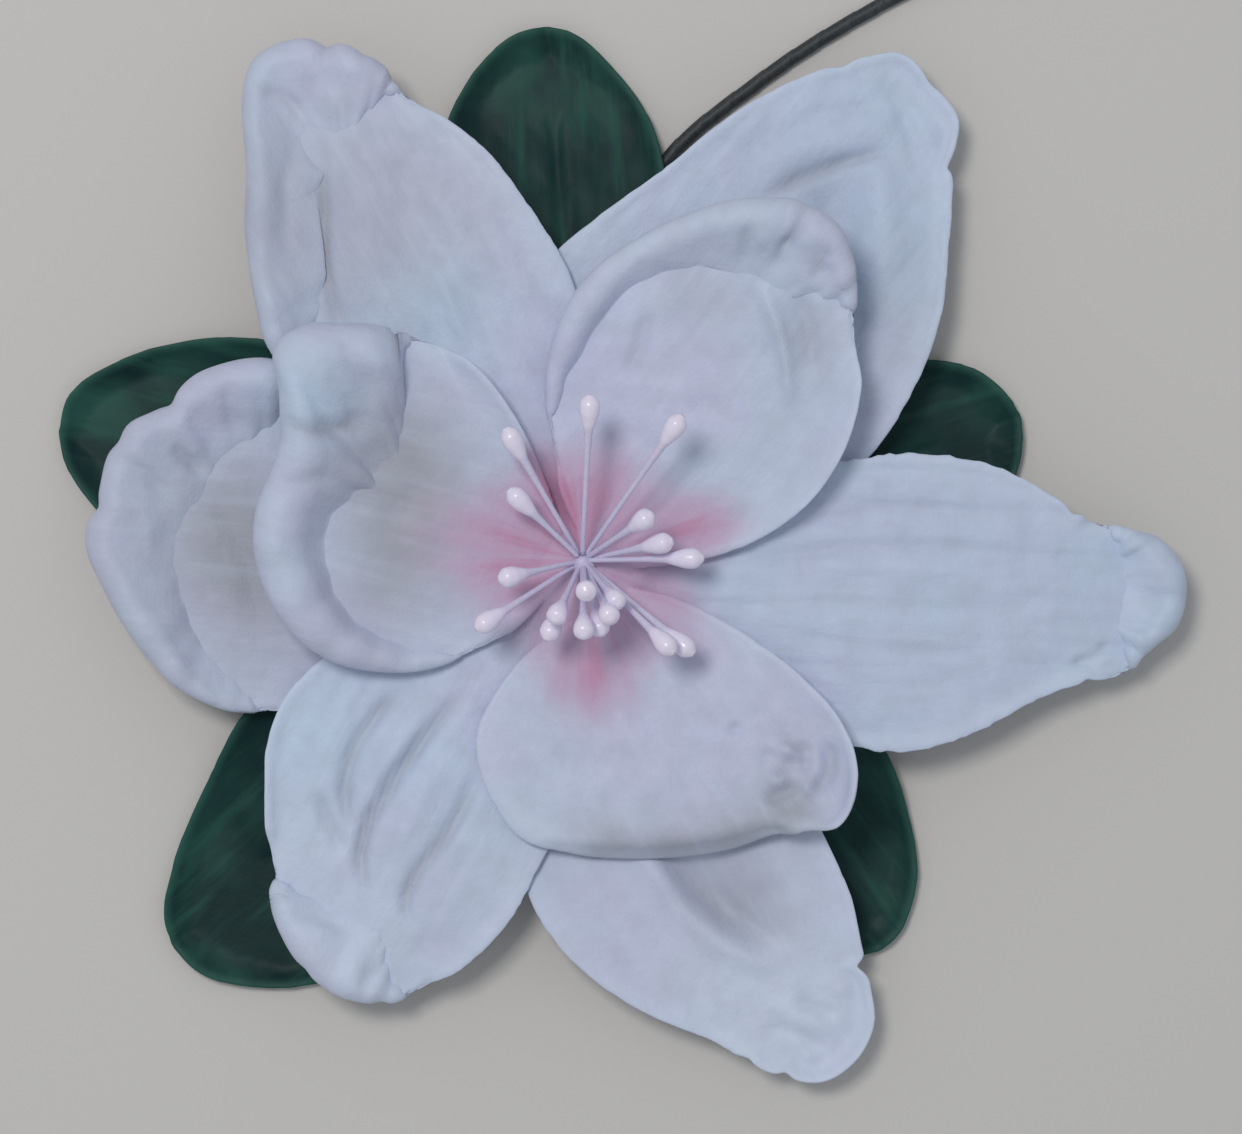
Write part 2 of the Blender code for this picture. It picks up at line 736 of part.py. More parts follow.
def tube(name, centres, radii, sides):
    """A closed tube of changing radius along a line of centres, in millimetres."""
    made = bmesh.new()
    centres = [Vector(centre) for centre in centres]
    rings = []
    for number, (centre, radius) in enumerate(zip(centres, radii)):
        before, beyond = centres[max(number - 1, 0)], centres[min(number + 1, len(centres) - 1)]
        turn = (beyond - before).to_track_quat("Z", "Y")
        angles = [2 * math.pi * side / sides for side in range(sides)]
        ring = [turn @ Vector((radius * math.cos(angle), radius * math.sin(angle), 0)) for angle in angles]
        rings.append([made.verts.new((centre + offset) * MM) for offset in ring])
    for low, high in zip(rings, rings[1:]):
        for side in range(sides):
            onward = (side + 1) % sides
            made.faces.new((low[side], low[onward], high[onward], high[side]))
    made.faces.new(rings[0][::-1])
    made.faces.new(rings[-1])
    mesh = bpy.data.meshes.new(name)
    made.to_mesh(mesh)
    made.free()
    return mesh


def stamen(number, azimuth, distance, height):
    """One filament with its bead head, rooted inside the core."""
    heading = math.radians(azimuth)
    level = Vector((math.cos(heading), math.sin(heading), 0))
    top = Vector(CORE_LINE[-1])
    depth = STAMEN_ROOT_DEPTH + STAMEN_ROOT_STEP * (number % STAMEN_ROOT_LEVELS)
    root = top + level * STAMEN_ROOT_SPREAD - Vector((0, 0, depth))
    end = Vector((top.x, top.y, height)) + level * distance
    bend = root + level * distance * STAMEN_BEND + Vector((0, 0, (end.z - root.z) * STAMEN_RISE))
    head_share = HEAD_LENGTH / ((end - bend).length + (bend - root).length)
    centres = []
    for share, radius in STAMEN_OUTLINE:
        t = share * (1 - head_share) if share <= 1 else 1 + (share - 2) * head_share
        centres.append(root * (1 - t) ** 2 + bend * 2 * t * (1 - t) + end * t**2)
    return tube(f"stamen_{number}", centres, [radius for share, radius in STAMEN_OUTLINE], STAMEN_SIDES)


def stamens():
    """The spray: every stamen joined to the core that they rise from."""
    core = tube("stamens", CORE_LINE, [CORE_RADIUS] * len(CORE_LINE), CORE_SIDES)
    spray = place("stamens", core, stamen_pearl())
    parts = bpy.data.collections.new("stamen_parts")
    for number, head in enumerate(STAMENS):
        mesh = stamen(number, *head)
        parts.objects.link(bpy.data.objects.new(mesh.name, mesh))
    bpy.context.scene.collection.children.link(parts)
    join = spray.modifiers.new("join", "BOOLEAN")
    join.operation = "UNION"
    join.solver = "EXACT"
    join.operand_type = "COLLECTION"
    join.collection = parts
    join.use_self = True
    bpy.context.view_layer.update()
    graph = bpy.context.evaluated_depsgraph_get()
    joined = bpy.data.meshes.new_from_object(spray.evaluated_get(graph))
    spray.modifiers.clear()
    spray.data = joined
    for piece in list(parts.objects):
        bpy.data.objects.remove(piece)
    bpy.data.collections.remove(parts)


def main():
    for old in list(bpy.data.objects):
        bpy.data.objects.remove(old)
    tepals()
    leaves()
    receptacle()
    stem()
    stamens()


main()
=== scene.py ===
"""The looks of the magnolia flower: finely worked foam tepals and leaves, beaded stamens, the receptacle
and the taped stem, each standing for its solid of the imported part, with their finishes.

The frame is the part's: metres, +Z up, the origin where the flower's axis meets the surface it lies on.
Sizes in the tables are millimetres and angles degrees. An azimuth is measured counter-clockwise from +X,
seen from above. Outlines, places and heights are the part's own; the turned margins lie flatter than there.
"""

import math

import bmesh
import bpy
import numpy as np
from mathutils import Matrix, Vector


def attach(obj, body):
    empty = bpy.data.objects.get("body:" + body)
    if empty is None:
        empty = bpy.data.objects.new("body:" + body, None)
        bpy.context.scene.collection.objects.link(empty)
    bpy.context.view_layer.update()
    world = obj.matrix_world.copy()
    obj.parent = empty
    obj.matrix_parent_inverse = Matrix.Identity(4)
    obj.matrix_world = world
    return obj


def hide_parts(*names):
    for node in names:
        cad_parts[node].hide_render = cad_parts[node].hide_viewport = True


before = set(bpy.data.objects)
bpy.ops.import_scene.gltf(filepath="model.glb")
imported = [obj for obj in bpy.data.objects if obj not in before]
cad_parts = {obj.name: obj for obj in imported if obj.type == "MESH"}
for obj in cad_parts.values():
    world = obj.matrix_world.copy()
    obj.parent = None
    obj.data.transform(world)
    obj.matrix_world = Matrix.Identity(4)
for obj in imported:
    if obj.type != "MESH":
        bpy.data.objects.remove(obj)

MM = 0.001

# The picture: its size and the flower's axis in pixels, what a pixel covers at the tepals' height, and how
# far above that height the camera is
PICTURE_WIDTH = 1242
PICTURE_HEIGHT = 1134
AXIS_COLUMN = 585
AXIS_ROW = 575
PIXEL = 0.1375
CAMERA_DISTANCE = 550
FOCUS_HEIGHT = 8
SENSOR_WIDTH = 36

# Sheets: thickness, steps along the midrib and round the tip, and rings on the flat, the bend and the lip.
# RING_EVENNESS is the share by which the rings are spread evenly instead of by these three. The seeds of
# two sheets lie a step apart. EDGE_SAMPLES find the tip, and LEAST_LENGTH keeps normals finite.
TEPAL_THICKNESS = 1.0
TEPAL_STEPS = (80, 106)
TEPAL_RINGS = (24, 22, 14)
LEAF_THICKNESS = 0.8
LEAF_STEPS = (66, 48)
LEAF_RINGS = (20, 8, 4)
LEAF_SEED = 200
SEED_STEP = 10
RING_EVENNESS = 0.35
EDGE_SAMPLES = 900
LEAST_LENGTH = 1e-12

# Turned margins: the least turn, the widest bend as a share of the way from the midrib to the margin, and
# the turns between which a margin comes to be laid back. Its lip then lands on the sheet in a sweep, whose
# radius is a share of the bend's, and lies at a height above it.
LEAST_ROLL = 1
WIDEST_BEND = 0.9
LAID_BACK = (120, 180)
LANDING = 0.35
LAID_HEIGHT = 0.12

# The rim is rounded off over a width, in steps, and over the wider one where a laid back margin's bend and
# lip reach a full fold. Its section would be an ellipse at a power of 2. Bends below the small fold's sink
# into the rim.
RIM_ROUNDING = 1.1
LAID_ROUNDING = 4.2
FULL_FOLD = 4
RIM_STEPS = 6
RIM_POWER = 1.6
SMALL_FOLD = 0.5

# Where each whorl is seated on the receptacle: distance from the axis and height, and half a root's width
LEAF_SEAT = (6.2, 6.9)
OUTER_SEAT = (4.95, 8.9)
MIDDLE_SEAT = (4.1, 10.8)
INNER_SEAT = (3.8, 12.8)
TEPAL_ROOT_HALF_WIDTH = 3
LEAF_ROOT_HALF_WIDTH = 2.2

# How far the margin is turned up at the root, its usual bend and lip, and how far it is turned where it is
# laid back. At the ends of such a fold it is turned by FOLD_START, with the bend and lip of FOLD_END.
ROOT_ROLL = 8
USUAL_MARGIN = (6, 1)
LAID_ROLL = 190
FOLD_START = 30
FOLD_END = (0.12, 0.1)

# Each tepal is a sheet with a midrib along its azimuth.
#   floor    its height at distances from the axis
#   spine    where the midrib ends, and the rings start to fan out round the tip
#   edge     stations round its outline, up the left side to the tip and down the right: distance out,
#            distance to the left, how far the margin is turned up in degrees, the radius of that bend,
#            and how far the sheet goes on past it. Where the last or the last two aren't given, they are
#            the usual ones. A list among the stations is a margin that is laid back on its own sheet: it
#            leaves out the turn, and the fold begins at its first two places and ends at its last two.
TEPALS = {
    "outer_tepal_1": dict(azimuth=51, seat=OUTER_SEAT, spine=66, edge=[
        (13, 15, 8), (22, 26, 8), (31, 30, 8), (39, 28.7, 12), (49, 26, 24), (64, 22.6, 30),
        (73, 18.4, 30), (78.6, 14.7, 34), (82.5, 10.8, 36, 5), (81.9, 5, 34, 5), (80.1, -0.6, 34, 5),
        (76.2, -2.8, 30, 5), (68.4, -8.2, 26), (57.1, -15.3, 26), (47.3, -18.3, 20), (36.8, -19.2, 10),
        (24, -15, 8), (12, -9, 8),
    ], floor=[(30, 9.2), (60, 8.6), (82, 6.5)]),
    "outer_tepal_2": dict(azimuth=175, seat=OUTER_SEAT, spine=46, edge=[
        (13, 10, 8), (26, 18, 8, 8), (38, 21.8, 12, 8),
        [(40.5, 22.2), (42.5, 22.5), (44.5, 22.6, 0.5, 2.4), (47.5, 22.4, 0.8, 4.2), (52, 20.9, 1.4, 5),
         (56, 18.4, 1.9, 5.4), (60.5, 14, 2.1, 6.3), (64.7, 8.2, 2.2, 7.8), (68.2, -0.4, 2.2, 10.6),
         (67.2, -4, 2.2, 10.3), (65.5, -12.4, 2.2, 11.6), (59, -18.2, 2.2, 10.4),
         (54.4, -22.6, 2.2, 10.5), (48.5, -25.1, 2.2, 9.2), (45, -25, 2.2, 7), (43.2, -24.6, 1.8, 4.8),
         (41, -24.1, 0.7, 1.2), (39, -23.5), (37, -22.7)],
        (33.5, -21.3, 8), (24, -16, 8), (12, -9, 8),
    ], floor=[(25, 9.1), (45, 8.6), (68, 8.0)]),
    "outer_tepal_3": dict(azimuth=-60, seat=OUTER_SEAT, spine=62, edge=[
        (14, 9, 8), (30, 13, 8), (46, 9.8, 15, 5), (57, 8.6, 30, 5), (64, 6.4, 34, 5), (68, 5.2, 38, 4),
        (72.6, 3.4, 44, 4), (75.6, -0.5, 50, 4), (76.2, -6.2, 50, 4), (73, -10.4, 40, 4),
        (69.7, -12.9, 28, 5), (65.8, -15, 22, 5), (56, -22.2, 22, 5), (45, -27.1, 15, 5), (36, -28, 8),
        (25, -24, 8), (14, -14, 8),
    ], floor=[(30, 9.2), (55, 8.0), (77, 5.5)]),
    "middle_tepal_1": dict(azimuth=-3, seat=MIDDLE_SEAT, spine=66, edge=[
        (14, 9.5, 8), (33, 16.2, 8, 8), (45, 18.2, 12, 8), (56, 16.7, 18), (62, 14.2, 25, 5),
        (67.1, 11.4, 35, 4),
        [(69, 10.9), (71, 10.5), (73.8, 9.9, 0.7, 1.2), (77.2, 9.4, 1.5, 3.4), (80.6, 6.6, 1.7, 6),
         (82.3, 1, 1.7, 7), (81.2, -2.8, 1.7, 6.2), (78.4, -5.4, 1.5, 4.4), (76.7, -7.4, 0.9, 2),
         (75.2, -9.2), (73.2, -10.2)],
        (69, -10.5, 30, 4), (62, -13.4, 20), (55, -17.6, 15), (44, -21.1, 12, 8), (30, -18.5, 8, 8),
        (14, -10, 8),
    ], floor=[(30, 11.6), (55, 10.6), (82, 6.5)]),
    "middle_tepal_2": dict(azimuth=121, seat=MIDDLE_SEAT, spine=64, edge=[
        (14, 10, 8), (24, 13, 8), (33, 14.6, 8), (38.5, 16.1, 12, 5),
        [(41, 17.3), (42.8, 18.3), (46.6, 20.4, 1.0, 4.6), (50.5, 20.3, 1.5, 7.8),
         (53.7, 19.4, 1.8, 9.0), (61.8, 16.1, 1.9, 9.2), (70.9, 10.8, 1.9, 8.8), (79.4, 6.4, 1.8, 8.4),
         (83.4, 3, 1.8, 10.7), (83.7, -1, 1.8, 11.8), (82, -5.5, 1.8, 11.8), (79.4, -8.6, 1.8, 10.6),
         (75.6, -11, 1.6, 8.4), (73.2, -12, 1.3, 5), (71.4, -11.9, 0.6, 1.2), (69.4, -12.6),
         (67.2, -13.5)],
        (63, -15.2, 26, 5), (57, -17.4, 22, 5), (48, -18.5, 15, 5), (37, -18.6, 8), (24, -15, 8),
        (12, -9, 8),
    ], floor=[(30, 11.6), (46, 11.8), (60, 11.0), (82, 8.5)]),
    "middle_tepal_3": dict(azimuth=-117, seat=MIDDLE_SEAT, spine=48, edge=[
        (12, 8, 8), (24, 11, 8), (38, 11.6, 10), (47, 11.4, 20), (56, 8.4, 25, 5),
        [(60.2, 6), (62.2, 4.7), (64.4, 2.4, 0.8, 2), (65.6, -0.2, 1.4, 5), (66.3, -3, 1.8, 7.6),
         (66.1, -6.4, 1.8, 9), (64, -12, 1.8, 8), (60.2, -17, 1.6, 5), (58, -18.5, 1, 2.2),
         (56.2, -19.1), (54, -20.5)],
        (50, -22.8, 46, 4), (46, -24.8, 44, 5), (41, -27.1, 36, 5), (34, -28, 25), (23, -24, 8),
        (12, -13, 8),
    ], floor=[(25, 11.4), (45, 10.4), (65, 8.0)]),
    "inner_tepal_1": dict(azimuth=53, seat=INNER_SEAT, spine=32, edge=[
        (7, 8.5, 20, 5),
        [(10.5, 12.8), (13, 15.5), (18.5, 20, 0.9, 1.6), (24.5, 22.7, 1.5, 2.8), (34.5, 23.2, 1.7, 3.0),
         (40, 21.4, 1.8, 3.6), (46.2, 18.2, 2.0, 4.6), (53.2, 12.6, 2.1, 8.2), (57.2, 6.4, 2.1, 10),
         (57.3, 0.6, 2.1, 8.6), (54.6, -3.8, 1.7, 4.4), (52.2, -6, 0.9, 1.6), (49.8, -7.9),
         (47.6, -9.6)],
        (42, -14, 40, 8), (34, -17.2, 42, 9), (26, -17.6, 40, 10), (16, -14, 20, 10), (8, -7.5, 8),
    ], floor=[(12, 13.4), (28, 15.5), (42, 18.2), (57, 21.0)]),
    "inner_tepal_2": dict(azimuth=165, seat=INNER_SEAT, spine=22, edge=[
        (7.5, 9, 15, 8),
        [(10.2, 12.2), (12.5, 14.2), (19, 18.2, 0.8, 2), (24, 19.5, 1.4, 3), (29, 19.8, 2.0, 3.6),
         (36, 17.2, 2.7, 4.2), (40.4, 13.1, 3.0, 5.2), (43.4, 7.9, 3.2, 5.6), (44.4, 2.7, 3.4, 6),
         (43.6, -4.8, 3.7, 8), (45.2, -12.7, 4, 13.2), (47.4, -19, 4, 18), (44.6, -22.3, 4, 18),
         (40, -24, 4, 15.6), (36.6, -24.8, 3.9, 12.2), (34.4, -25, 3.3, 9.4), (32.6, -25, 0.9, 1.2),
         (30.6, -25), (28.2, -24.9)],
        (22, -23, 46, 7), (14.5, -17.4, 40, 8), (8, -9.5, 15, 8),
    ], floor=[(12, 13.4), (26, 15.0), (48, 17.6)]),
    "inner_tepal_3": dict(azimuth=-58, seat=INNER_SEAT, spine=26, edge=[
        (9, 8, 12, 8), (18, 13.3, 20, 8), (27, 16.8, 30, 8), (35, 18.3, 45), (39.6, 17.4, 60, 4, 1.5),
        (43.6, 15.2, 75, 3.5, 2), (46.2, 10.6, 60, 3, 1.5), (44.6, 7, 10, 3), (42, 3.6, -45, 1.6, 3),
        (40, -3, -56, 1.5, 4), (37, -9.6, -56, 1.5, 4), (33.6, -15.4, -52, 1.5, 3.6),
        (29.6, -21, -35, 2, 2.4), (26.6, -24.5, -15, 3, 1.5), (19, -26, -8), (11, -23.3, 8),
        (6, -15, 8),
    ], floor=[(14, 13.4), (30, 14.2), (45, 15.6)]),
}

# What the hand worked into each tepal, in millimetres seen from above with the axis at the origin.
#   notches  where the outline is nicked: x, y, how deep and how wide
#   grooves  pressed lines: depth, width and route, where a negative depth is a raised line
#   dents    pressed spots: x, y, radius and depth, where a negative depth is a bump
#   lip_grooves and lip_dents are the same on the turned-over margin
#   uneven   how lumpy the turned margin is, veins how marked the lengthwise creases are, and nibbled how
#            much deeper than the others' its edge is nibbled
#    cool, pale and shade are painted light and shade: bluer and lighter where it is lit, lighter where it
#             faces the light, and darker with painted shade in hollows, under folds and beside higher
#             tepals:
#             x, y, radius and how much
LOOKS = {
    "outer_tepal_1": dict(
        notches=[(49.9, 56.2, 0.6, 1.2), (46.5, 66.5, 0.4, 1.6), (35.5, 69.5, 0.4, 1.6)],
        grooves=[
            (1.2, 0.9, [(22, 50), (25, 52), (31, 55), (38, 57.5), (45, 58.6)]),
            (-0.9, 2.2, [(22, 54), (29, 58), (38, 61), (46, 62)]),
            (2.0, 3.4, [(36, 59), (34, 51), (34.8, 42), (36.7, 28)]),
            (-1.3, 2.8, [(42, 60), (40.5, 54), (41.4, 46), (41, 38)]),
            (-0.7, 3.0, [(16, 58), (27, 63.5), (39, 66)]), (0.5, 1.2, [(41, 68), (44, 63), (45.5, 56)]),
            (0.35, 1.0, [(28, 62), (35, 64), (42, 64)]),
        ],
        dents=[(43.6, 62.2, 1.4, 0.5), (47.5, 60.5, 1.4, -0.4), (40, 68.5, 2.0, -0.5)],
        uneven=0.7, veins=0.9,
        shade=[(44, 36, 14, 0.25), (30, 54, 6, 0.2)],
        cool=[(30, 62, 20, 0.35), (40, 46, 14, 0.35)],
    ),
    "outer_tepal_2": dict(
        notches=[(-56.6, 23.6, 0.7, 1.5), (-64, 18.6, 0.7, 1.8), (-66.4, 9, 0.8, 1.4)],
        grooves=[(0.4, 2.0, [(-52, 14), (-47, 4), (-44, -8)])],
        lip_grooves=[
            (0.9, 1.1, [(-56.8, 18.2), (-54, 15.5), (-51.2, 12.6)]),
            (0.6, 1.2, [(-65, 16.5), (-60, 14), (-56.5, 10)]),
            (0.5, 1.0, [(-49, 27), (-48.5, 22), (-47, 18.5)]),
            (-0.6, 1.6, [(-57, 22), (-54.5, 19), (-53, 15)]),
            (-0.5, 2.0, [(-62, 12), (-60, 8), (-61, 2)]),
        ],
        lip_dents=[(-63.8, 6.3, 2.6, -0.5), (-56.0, 5.6, 1.0, 0.7), (-60, 19.5, 2, -0.5)],
        uneven=1.2, veins=0.5,
        shade=[(-48, 6, 9, 0.9), (-44, -4, 9, 0.5), (-66, 0, 30, 0.2)],
    ),
    "outer_tepal_3": dict(
        notches=[(37.3, -54.1, 1.3, 1.0), (27.9, -67.6, 1.0, 1.0), (23, -65.6, 0.5, 1.0)],
        grooves=[
            (-1.6, 1.9, [(6, -35), (9.8, -40.3), (16.4, -48.5), (22, -52), (29, -54)]),
            (1.7, 2.2, [(9, -34), (12.6, -39.3), (18.2, -45.6), (23.4, -49), (30, -51.5)]),
            (1.6, 4.8, [(14, -37), (20, -43.5), (29, -48)]),
            (0.45, 1.0, [(28, -58), (33, -60), (36, -60)]),
            (0.45, 1.0, [(24, -62), (29, -63), (34, -66)]),
            (-0.5, 1.4, [(24, -58), (30, -61), (35, -64)]),
        ],
        dents=[(35.5, -57, 1.3, -0.5), (31, -66.5, 1.4, -0.4)],
        uneven=0.9, veins=0.8,
        pale=[(26, -58, 17, 0.9)],
        shade=[(21, -43, 6, 0.5), (27, -48, 4, 0.3)],
    ),
    "middle_tepal_1": dict(
        notches=[
            (75.6, -10.4, 1.0, 0.9), (76.6, 5.6, 0.4, 1.1), (69, -13.4, 0.5, 1.0), (67, 8.6, 0.5, 1.0),
        ],
        grooves=[
            (0.5, 1.0, [(20, 2), (40, 4), (62, 3)]), (0.5, 1.1, [(20, -3), (42, -4), (66, -5)]),
            (0.45, 1.0, [(24, -7), (40, -10), (60, -10)]), (0.45, 1.0, [(26, 7), (44, 9), (62, 7)]),
            (0.35, 1.0, [(30, -12), (42, -15), (54, -14)]),
            (0.6, 0.8, [(66, -12.5), (70, -11), (72.5, -9)]),
        ],
        lip_grooves=[
            (0.4, 0.9, [(79, 5), (76, 3.5), (73.5, 3)]), (0.4, 0.9, [(80.5, -4), (77, -4), (74, -3)]),
        ],
        lip_dents=[(77, -7.5, 1.0, 0.5), (77.5, 0, 2.2, -0.4)],
        uneven=0.8, veins=2.2, nibbled=0.12,
        cool=[(50, -3, 60, 0.3)],
    ),
    "middle_tepal_2": dict(
        notches=[
            (-27.8, 66, 0.8, 1.2), (-35.6, 73, 1.0, 1.5), (-44.5, 68.5, 0.7, 1.4), (-30.5, 71, 0.4, 1.1),
        ],
        grooves=[
            (-0.8, 1.1, [(-20, 41), (-18.7, 38.1), (-16, 31)]),
            (0.9, 0.8, [(-36, 59), (-35.6, 51), (-35.3, 42), (-34, 36), (-31.6, 29)]),
            (0.5, 1.5, [(-17, 43), (-14, 36), (-12, 30)]),
            (0.5, 2.4, [(-24, 62), (-24, 52), (-23.5, 41)]),
            (-0.6, 3.0, [(-30, 58), (-30, 48), (-28, 38)]),
        ],
        lip_grooves=[
            (0.6, 1.3, [(-35.8, 73), (-35.1, 69.5), (-34.5, 65)]),
            (0.6, 0.9, [(-45, 66.3), (-41.3, 65.4), (-38, 63)]),
            (0.5, 1.1, [(-38.5, 62), (-41, 52), (-40, 42)]),
            (-0.5, 1.6, [(-44, 62), (-44, 52), (-42.5, 42)]),
        ],
        lip_dents=[(-32, 69, 1.6, -0.5), (-39, 68.5, 1.7, -0.5), (-34, 63, 2.0, -0.4)],
        uneven=0.7, veins=0.8,
        shade=[(-28, 48, 18, 0.45), (-44, 50, 12, 0.3)],
        cool=[(-20, 36, 10, 0.6), (-43, 52, 8, 0.3)],
    ),
    "middle_tepal_3": dict(
        notches=[(-41.5, -42.2, 1.2, 0.9), (-37.5, -53.2, 0.5, 1.2), (-28, -58.6, 0.5, 1.0)],
        grooves=[
            (1.5, 0.85, [(-24, -14.5), (-28, -18.6), (-31.4, -23.5), (-32.8, -29), (-32.3, -37)]),
            (1.9, 0.85, [(-16, -15), (-23.5, -24.3), (-27.1, -29.6), (-29.8, -34.2), (-30.8, -38),
                         (-29.4, -46.4)]),
            (-0.8, 1.4, [(-22, -20), (-28, -27), (-31, -34)]),
            (1.3, 0.9, [(-13.5, -25.5), (-19, -35.8), (-23.2, -41.3), (-24.6, -45.1), (-22.4, -50)]),
            (0.9, 1.1, [(-37.5, -29), (-35.9, -32), (-32.7, -38.8)]),
            (-0.6, 2.0, [(-18, -24), (-23, -32), (-27, -40)]),
        ],
        dents=[(-15.5, -28.6, 0.9, 0.4), (-21.5, -50.7, 2.2, 0.7)],
        lip_grooves=[
            (0.6, 0.9, [(-38, -46), (-34, -48), (-31, -50)]),
            (0.5, 0.9, [(-31, -57), (-29.5, -54), (-28, -52)]),
        ],
        lip_dents=[(-36, -49.5, 2.0, -0.6), (-31.5, -53.5, 1.8, -0.5)],
        uneven=0.8, veins=0.9,
        cool=[(-36, -22, 12, 0.5), (-20, -26, 8, 0.4)],
        pale=[(-40, -38, 10, 0.4), (-32, -53, 8, 0.5)],
    ),
    "inner_tepal_1": dict(
        notches=[],
        grooves=[
            (0.8, 1.1, [(8.5, 37), (8, 33.4), (5.6, 26)]),
            (-1.3, 1.1, [(23, 41), (24.8, 37.1), (27.1, 30.3), (27.8, 22)]),
            (1.0, 1.4, [(27, 39), (30.0, 34), (30.6, 26)]), (0.4, 1.5, [(14, 24), (18, 22), (21, 19)]),
            (0.5, 2.2, [(12, 38), (13, 30), (12, 24)]),
        ],
        dents=[(17.4, 42, 1.6, 0.6)],
        lip_grooves=[
            (0.7, 0.9, [(22, 48), (21.6, 44), (20.6, 40.5)]),
            (0.8, 0.8, [(29.6, 50), (28.6, 46.5), (26.6, 43.6), (26.4, 40)]),
            (0.6, 0.8, [(34, 44), (31.6, 42), (30.4, 39)]),
            (0.4, 1.0, [(8, 43), (7.5, 40.5), (8, 38.5)]),
        ],
        lip_dents=[
            (27.1, 44.4, 1.0, 0.8), (32.4, 40.7, 1.0, 0.8), (29.8, 48.6, 1.0, 0.6),
            (24.6, 45.6, 1.9, -0.8), (30.4, 45.0, 1.5, -0.7), (23.2, 41.4, 1.3, -0.6),
            (28.6, 40.4, 1.2, -0.6),
        ],
        uneven=1.0, veins=0.7,
        pale=[(8, 40, 9, 0.3)],
        shade=[(31, 32, 5, 0.35), (16, 38, 6, 0.3)],
    ),
    "inner_tepal_2": dict(
        notches=[(-42.6, 18.5, 1.2, 1.6)],
        grooves=[(0.4, 2.0, [(-30, 4), (-24, 10), (-18, 12)])],
        lip_grooves=[
            (1.1, 1.2, [(-41, 21), (-37, 19), (-32.5, 20), (-28, 21.5)]),
            (0.6, 1.1, [(-42, 12), (-38, 12.5), (-33.5, 14)]),
            (-0.7, 1.8, [(-37, 30), (-34, 24), (-31, 18)]),
            (0.6, 1.4, [(-33, 32), (-30, 27), (-28, 22)]),
        ],
        lip_dents=[(-31.4, 21.5, 0.9, 0.5), (-31.2, 12, 1.8, -0.6), (-41.5, 4, 2.2, -0.4)],
        uneven=0.7, veins=0.5,
        shade=[(-25, 16, 9, 0.9), (-24, 5, 9, 0.75), (-28, -3, 6, 0.4)],
        cool=[(-35, 22, 8, 0.5)],
    ),
    "inner_tepal_3": dict(
        notches=[(34.6, -28.0, 0.5, 1.0)],
        grooves=[
            (0.4, 2.0, [(-6, -23.4), (0.7, -25.4), (6, -26)]),
            (0.9, 1.0, [(24, -31), (27.1, -29.4), (29.5, -28)]),
            (1.0, 1.1, [(33, -22), (33, -27), (30.5, -30)]),
            (0.8, 0.9, [(26, -21.4), (28.6, -23.2), (31.6, -24)]),
            (0.8, 0.9, [(24.6, -27.4), (27.4, -26), (29, -24.4)]),
        ],
        dents=[
            (20.5, -20.9, 0.8, 0.8), (27.9, -23.4, 1.3, -1.2), (30.0, -25.6, 1.0, 1.1),
            (26.4, -27.6, 1.3, -1.1), (30.4, -28.8, 1.1, -0.9), (25.0, -24.6, 1.0, 0.8),
        ],
        lip_dents=[(34.6, -26, 1.0, 0.5), (32.5, -33.0, 1.0, 0.5), (12, -38.5, 2.0, 0.3)],
        uneven=1.0, veins=0.5,
        shade=[
            (3, -37, 4, 0.8), (12, -38.4, 4.5, 1), (21, -37, 5, 1), (28, -33, 4.5, 0.9),
            (28.5, -26, 5, 0.2),
        ],
    ),
}

# How high the broad swell, the fine working, the lengthwise creases and the lumps on a lip stand, and how
# wide they are. The root is left calm up to one distance, and beyond the next it is worked fully.
SWELL = 0.35
SWELL_WIDTH = 13
WORKING = 0.14
WORKING_WIDTH = 3.2
CREASE = 0.09
CREASE_WIDTH = 1.5
CREASE_STRETCH = 14
LUMPS = 0.35
LUMPS_WIDTH = 5
ROOT_CALM = (9, 22)

# Where a lip is worked: from a share of the margin's turn on, fully after the next share, at this distance
# from its free edge, with this bend, and where the margin is turned by twice the last of these
LIP_START = 0.3
LIP_SPAN = 0.25
LIP_CALM = 4.5
LUMPED_BEND = 2.2
FULLY_ROLLED = 60

# How uneven the margin's turn, bend and lip are, in degrees or as a share, and how wide their lumps are
ROLL_UNEVEN = 4
ROLL_LUMPS = 8
BEND_UNEVEN = 0.12
BEND_LUMPS = 10.4
LIP_UNEVEN = 0.06
LIP_LUMPS = 6.4

# How deep and wide the edge is nibbled, and how far a lip is shortened there and what is left of it
NIBBLE = 0.12
NIBBLE_WIDTH = 1.7
NOTCHED_LIP = 0.7
LEAST_LIP = 0.1

# Pressed lines: the share at each end where they fade, the points they are drawn with, and how dark the
# painted shade in their creases is and from what steepness on. LATTICE is how many values the noise has
# before it comes round again.
END_TAPER = 0.3
ROUTE_POINTS = 14
CREASE_PAINTED_SHADE = 0.42
FULL_CREASE = 1.3
LATTICE = 64

# Every leaf: how far its margin is turned up at distances from the axis, with what bend and lip, and the
# height of its floor
LEAF_ROLL = [(6.2, 3), (26, 8), (44, 26), (76, 30)]
LEAF_BEND = 12
LEAF_LIP = 0.8
LEAF_FLOOR = [(30, 5.6), (46, 3.4), (56, 1.3), (62, 0.2), (72, 0.0)]

